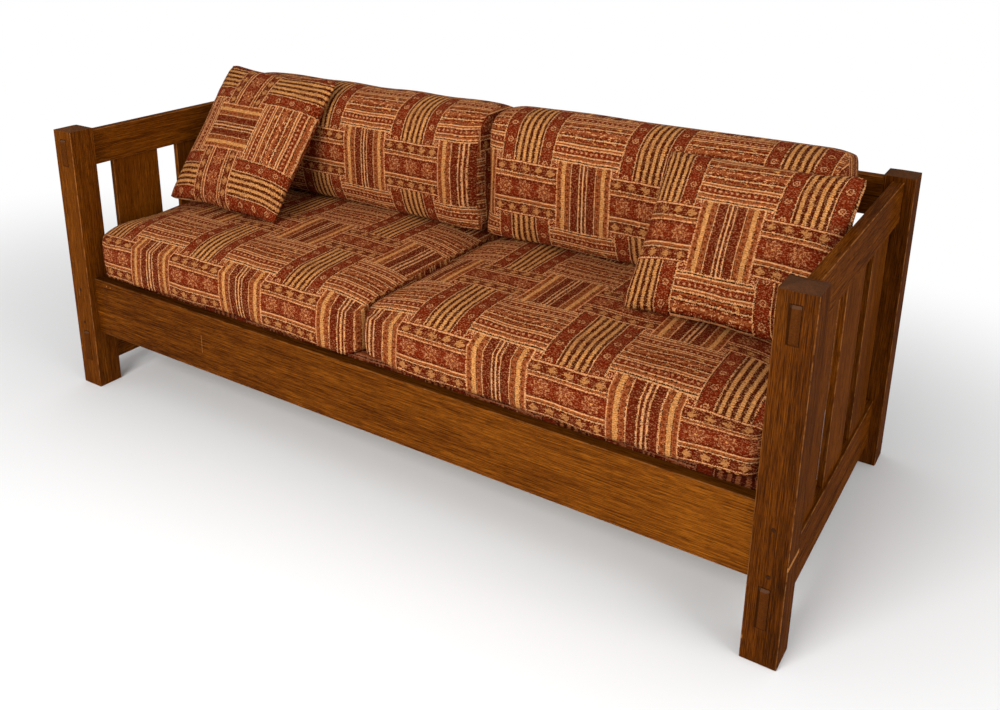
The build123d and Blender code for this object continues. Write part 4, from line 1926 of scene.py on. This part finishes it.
def node_middle(name: str) -> Vector:
    """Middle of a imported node's box."""
    low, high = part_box(name)
    return (low + high) / 2


@dataclass
class Joinery:
    """The frame's and seat's wooden pieces, which keep their shapes and get their finishes.

    Attributes:
        tenon_x: How far a tenon's middle is from the middle of the settle.
        tenons: Height and half height of the upper and the lower tenon.
        marks: Scratches and nicks, by piece.
    """

    oak: FumedOak = FumedOak()
    tenon_x: float = 1.0275
    tenon_half: float = 0.0105
    tenons: tuple[tuple[float, float], ...] = ((0.727, 0.038), (0.131, 0.046))
    marks: dict[str, tuple[Patch, ...]] = field(
        default_factory=lambda: {
            "front_seat_rail": (
                Patch(-0.545, 0.257, 0.0006, 0.028),
                Patch(-0.938, 0.334, 0.0022, 0.0016),
                Patch(-0.922, 0.333, 0.0018, 0.0016),
                Patch(0.21, 0.3462, 0.003, 0.0007),
            ),
            "post_front_left": (
                Patch(-1.040, 0.30, 0.0007, 0.012),
                Patch(-1.060, 0.12, 0.0014, 0.002),
            ),
            "post_front_right": (
                Patch(1.0665, 0.235, 0.0012, 0.005),
                Patch(0.994, 0.05, 0.0012, 0.004),
            ),
        }
    )

    def board(self, name: str) -> Board | None:
        """What sets a piece apart.

        Args:
            name: The piece's name.

        Returns:
            Its description, or None where it isn't of fumed oak.
        """
        marks = self.marks.get(name, ())
        side = math.copysign(1.0, node_middle(name).x)
        ends = [Patch(side * self.tenon_x, z, self.tenon_half, half) for z, half in self.tenons]
        if name.startswith("post_"):
            tone = 0.36 if side > 0 else 0.48
            return Board(Grain.HEIGHT, 0.2, tone, joints=tuple(ends), marks=marks, painted_cap_sheen=True)
        if "_slat_" in name:
            return Board(Grain.HEIGHT, 0.55, 0.54 if "left" in name else 0.44)
        if name.startswith("side_"):
            end = ends[0 if "top" in name else 1]
            return Board(Grain.DEPTH, 0.3, 0.47 - side * 0.04, proud=end)
        if name.endswith("_rail"):
            painted_top_shade = 0.55 if name.startswith("front") else 0.0
            return Board(Grain.ALONG, 0.12, 0.5, 0.13, marks=marks, painted_top_shade=painted_top_shade)
        return None

    def dress(self, nodes: dict[str, bpy.types.Object]) -> None:
        """Give every wooden and metal node its material.

        Args:
            nodes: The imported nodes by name.
        """
        pale = PlainWood("seat_wood", srgb(206, 172, 124), srgb(176, 138, 92), 0.7)
        peg = PlainWood("oak_peg", srgb(64, 33, 12), srgb(34, 17, 7), 0.42)
        along, depth = pale.dress(Grain.ALONG), pale.dress(Grain.DEPTH)
        whole = {"tenon_pegs": peg.dress(Grain.DEPTH), "cleat_screws": ScrewSteel().dress()}
        for seed, (name, node) in enumerate(sorted(nodes.items())):
            board = self.board(name)
            if board is not None:
                finish = self.oak.dress(node, board, seed)
            elif name in whole:
                finish = whole[name]
            elif name.startswith("seat_cleat_") or name.endswith("_bar"):
                finish = along
            elif "cross_bar" in name:
                finish = depth
            else:
                continue
            node.data.materials.clear()
            node.data.materials.append(finish)
            LOG.info("%s dressed", name)


@dataclass
class Upholstery:
    """The seat cushions, the back cushions and the loose pillows.

    Attributes:
        front_lifts: For each seat cushion, how far its lower front edge stands off the deck.
        rises: For each back cushion, how much higher its middle stands.
        pillows: For each pillow its shift from its node's middle, its lean, turn and spin in
            degrees, its width, height and thickness, and its seed.
    """

    seat_x: float = 0.4935
    seat_place: tuple[float, float] = (-0.0115, 0.3625)
    back_x: float = 0.478
    back_place: tuple[float, float] = (0.381, 0.5208)
    lays: dict[str, Lay] = field(
        default_factory=lambda: {
            "seat_left": Lay(0.0855, -0.288),
            "seat_right": Lay(-0.1055, -0.288),
            "back_left": Lay(0.081, 0.166),
            "back_right": Lay(-0.155, 0.163),
            "pillow_left": Lay(0.143, 0.008, True),
            "pillow_right": Lay(-0.014, 0.161),
        }
    )
    front_lifts: tuple[Outline, Outline] = (
        ((-1.0, 0.0), (0.9, 0.0), (1.0, 0.006)),
        ((-1.0, 0.022), (-0.8, 0.004), (-0.6, 0.0), (0.4, 0.0), (1.0, 0.013)),
    )
    rises: tuple[float, float] = (0.0, 0.005)
    pillows: tuple[tuple[Triple, Triple, Triple, int], ...] = (
        ((-0.005, 0.0195, 0.0005), (38.5, 3.0, -2.0), (0.444, 0.488, 0.124), 31),
        ((0.006, -0.010, -0.011), (34.0, -2.0, 0.8), (0.482, 0.416, 0.130), 33),
    )

    def build(self, tapestry: bpy.types.Material) -> None:
        """Build all six.

        Args:
            tapestry: Their cloth.
        """
        backs = []
        for number, (side, sign) in enumerate(SIDES):
            BoxCushion(
                name=f"seat_cover_{side}",
                node=f"seat_cushion_{side}",
                pose=Pose((sign * self.seat_x, *self.seat_place)),
                lay=self.lays[f"seat_{side}"],
                wrinkles=Wrinkles(11 + number, puckers=0.0032, reach=0.024),
                front_lift=self.front_lifts[number],
                front_hang=0.009,
                held=(0, 1),
            ).build(tapestry)
            back = RolledCushion(
                name=f"back_cover_{side}",
                node=f"back_cushion_{side}",
                pose=Pose((sign * self.back_x, *self.back_place), up=(0, 0, 1), front=(0, -1, 0)),
                lay=self.lays[f"back_{side}"],
                wrinkles=Wrinkles(21 + number, waves=0.0016, puckers=0.0018),
                rise=self.rises[number],
                fill=0.8,
                held=(0, 1),
                cap=0.009,
            )
            backs.append(back.build(tapestry))
        for (side, _), behind, (shift, angles, sizes, seed) in zip(SIDES, backs, self.pillows):
            width, height, thickness = sizes
            Pillow(
                name=f"pillow_cover_{side}",
                node=f"pillow_{side}",
                pose=Pose.leaning(node_middle(f"pillow_{side}") + Vector(shift), *angles),
                lay=self.lays[f"pillow_{side}"],
                wrinkles=Wrinkles(seed, waves=0.0018, puckers=0.0024),
                width=width,
                height=height,
                thickness=thickness,
                fill=0.6,
                held=(0,),
                cap=0.010,
                behind=behind,
            ).build(tapestry)


@dataclass(frozen=True)
class Lamp:
    """A soft square lamp that points at a target."""

    name: str
    place: Triple
    target: Triple
    size: float
    watts: float

    def build(self) -> None:
        """Add the lamp."""
        light = bpy.data.lights.new(self.name, "AREA")
        light.shape, light.size, light.energy = "SQUARE", self.size, self.watts
        made = link(bpy.data.objects.new(self.name, light))
        made.location = self.place
        made.rotation_mode = "QUATERNION"
        way = Vector(self.target) - Vector(self.place)
        made.rotation_quaternion = way.to_track_quat("-Z", "Y")


@dataclass
class Studio:
    """Floor, lamps and the camera at the photograph's angle.

    Attributes:
        turn: The camera's turn about the vertical, in radians.
        dip: How far it looks down, in radians.
        focal: Its focal length, in pixels of the photograph.
        sensor: Width of its sensor, in millimetres.
        ambient: Strength of the white surroundings.
        shades: Darkest and lightest shade of the floor.
        cloudy: Scale of its shades.
        oval: Scale of the distance at which it goes over into the backdrop.
        blend_from: Distance at which the floor starts to go over into the backdrop.
        blend_to: Distance at which it has gone over.
    """

    eye: Triple = (1.41740, -2.06727, 1.44660)
    turn: float = 0.571178
    dip: float = 0.307464
    roll: float = 0.008464
    focal: float = 978.77
    photo_width: float = 1000.0
    sensor: float = 36.0
    shift: tuple[float, float] = (0.01412, -0.155)
    clip: tuple[float, float] = (0.05, 60.0)
    ambient: float = 0.48
    reach: float = 30.0
    shades: tuple[float, float] = (0.84, 0.87)
    cloudy: Triple = (0.4, 0.4, 0.4)
    oval: Triple = (0.62, 1.0, 1.0)
    blend_from: float = 0.75
    blend_to: float = 2.0
    lamps: tuple[Lamp, ...] = (
        Lamp("key", (0.1, -3.6, 2.1), (0, 0, 0.45), 2.0, 138),
        Lamp("fill", (3.8, -0.8, 1.8), (0, 0, 0.4), 2.4, 62),
        Lamp("top", (-0.6, 0.9, 3.2), (0, 0, 0.5), 2.4, 8),
    )

    def camera(self) -> None:
        """Add the camera."""
        ahead = Vector((
            -math.sin(self.turn) * math.cos(self.dip),
            math.cos(self.turn) * math.cos(self.dip),
            -math.sin(self.dip),
        ))
        right = Vector((math.cos(self.turn), math.sin(self.turn), 0.0))
        up = right.cross(ahead)
        x = right * math.cos(self.roll) + up * math.sin(self.roll)
        y = up * math.cos(self.roll) - right * math.sin(self.roll)
        lens = bpy.data.cameras.new("camera")
        lens.sensor_fit, lens.sensor_width = "HORIZONTAL", self.sensor
        lens.lens = self.focal * self.sensor / self.photo_width
        lens.shift_x, lens.shift_y = self.shift
        lens.clip_start, lens.clip_end = self.clip
        camera = link(bpy.data.objects.new("camera", lens))
        rows = [(a, b, -c, d) for a, b, c, d in zip(x, y, ahead, self.eye)]
        camera.matrix_world = Matrix((*rows, (0, 0, 0, 1)))
        bpy.context.scene.camera = camera

    def seen(self, graph: Graph) -> Value:
        """1 for rays that come straight from the camera."""
        return graph.node("ShaderNodeLightPath", {}, {}, "Is Camera Ray")

    def floor(self) -> None:
        """Add a wide pale floor that keeps the shadow and goes over into the white backdrop."""
        corners = [(-1, -1), (1, -1), (1, 1), (-1, 1)]
        mesh = bpy.data.meshes.new("floor")
        mesh.from_pydata([(a * self.reach, b * self.reach, 0) for a, b in corners], [], [range(4)])
        graph = Graph.material("floor")
        tint = graph.noise(graph.place(self.cloudy), 1.0, 1.0)
        shades = (tuple(shade * part for part in WHITE) for shade in self.shades)
        shader = graph.node("ShaderNodeBsdfDiffuse", {}, {"Color": graph.mix(tint, *shades)})
        glow = graph.node("ShaderNodeEmission", {}, {"Color": WHITE, "Strength": 1.0})
        x, y, _ = graph.split(graph.place(self.oval))
        far = ((x * x + y * y) ** 0.5).ramped(self.blend_from, self.blend_to)
        inputs = {0: far * self.seen(graph), 1: shader, 2: glow}
        mesh.materials.append(graph.close(graph.node("ShaderNodeMixShader", {}, inputs)))
        link(bpy.data.objects.new("floor", mesh))

    def world(self) -> None:
        """Add the white surroundings, which light less than they show."""
        graph = Graph(bpy.data.worlds.new("studio"))
        strength = self.seen(graph) * (1.0 - self.ambient) + self.ambient
        inputs = {"Color": WHITE, "Strength": strength}
        back = graph.node("ShaderNodeBackground", {}, inputs)
        bpy.context.scene.world = graph.close(back, "World")

    def build(self) -> None:
        """Add everything round the settle."""
        bpy.context.scene.view_settings.view_transform = "Standard"
        self.floor()
        self.world()
        for lamp in self.lamps:
            lamp.build()
        self.camera()


def main() -> None:
    """Load the frame, dress it and build what is soft."""
    logging.basicConfig(level=logging.INFO, format="%(name)s: %(message)s")
    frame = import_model()
    Joinery().dress(frame["nodes"])
    Upholstery().build(PatchworkTapestry().dress())
    # The facing band gets a darker copy of the tapestry, with duller gold and tan: painted shade
    # under the seat cushions' overhang
    band = PatchworkTapestry(gold=srgb(176, 100, 58), tan=srgb(186, 112, 74))
    Deck().build(band.shaded_copy("deck_tapestry_painted_shade", 0.6).dress())
    Studio().build()


if __name__ == "__main__":
    main()
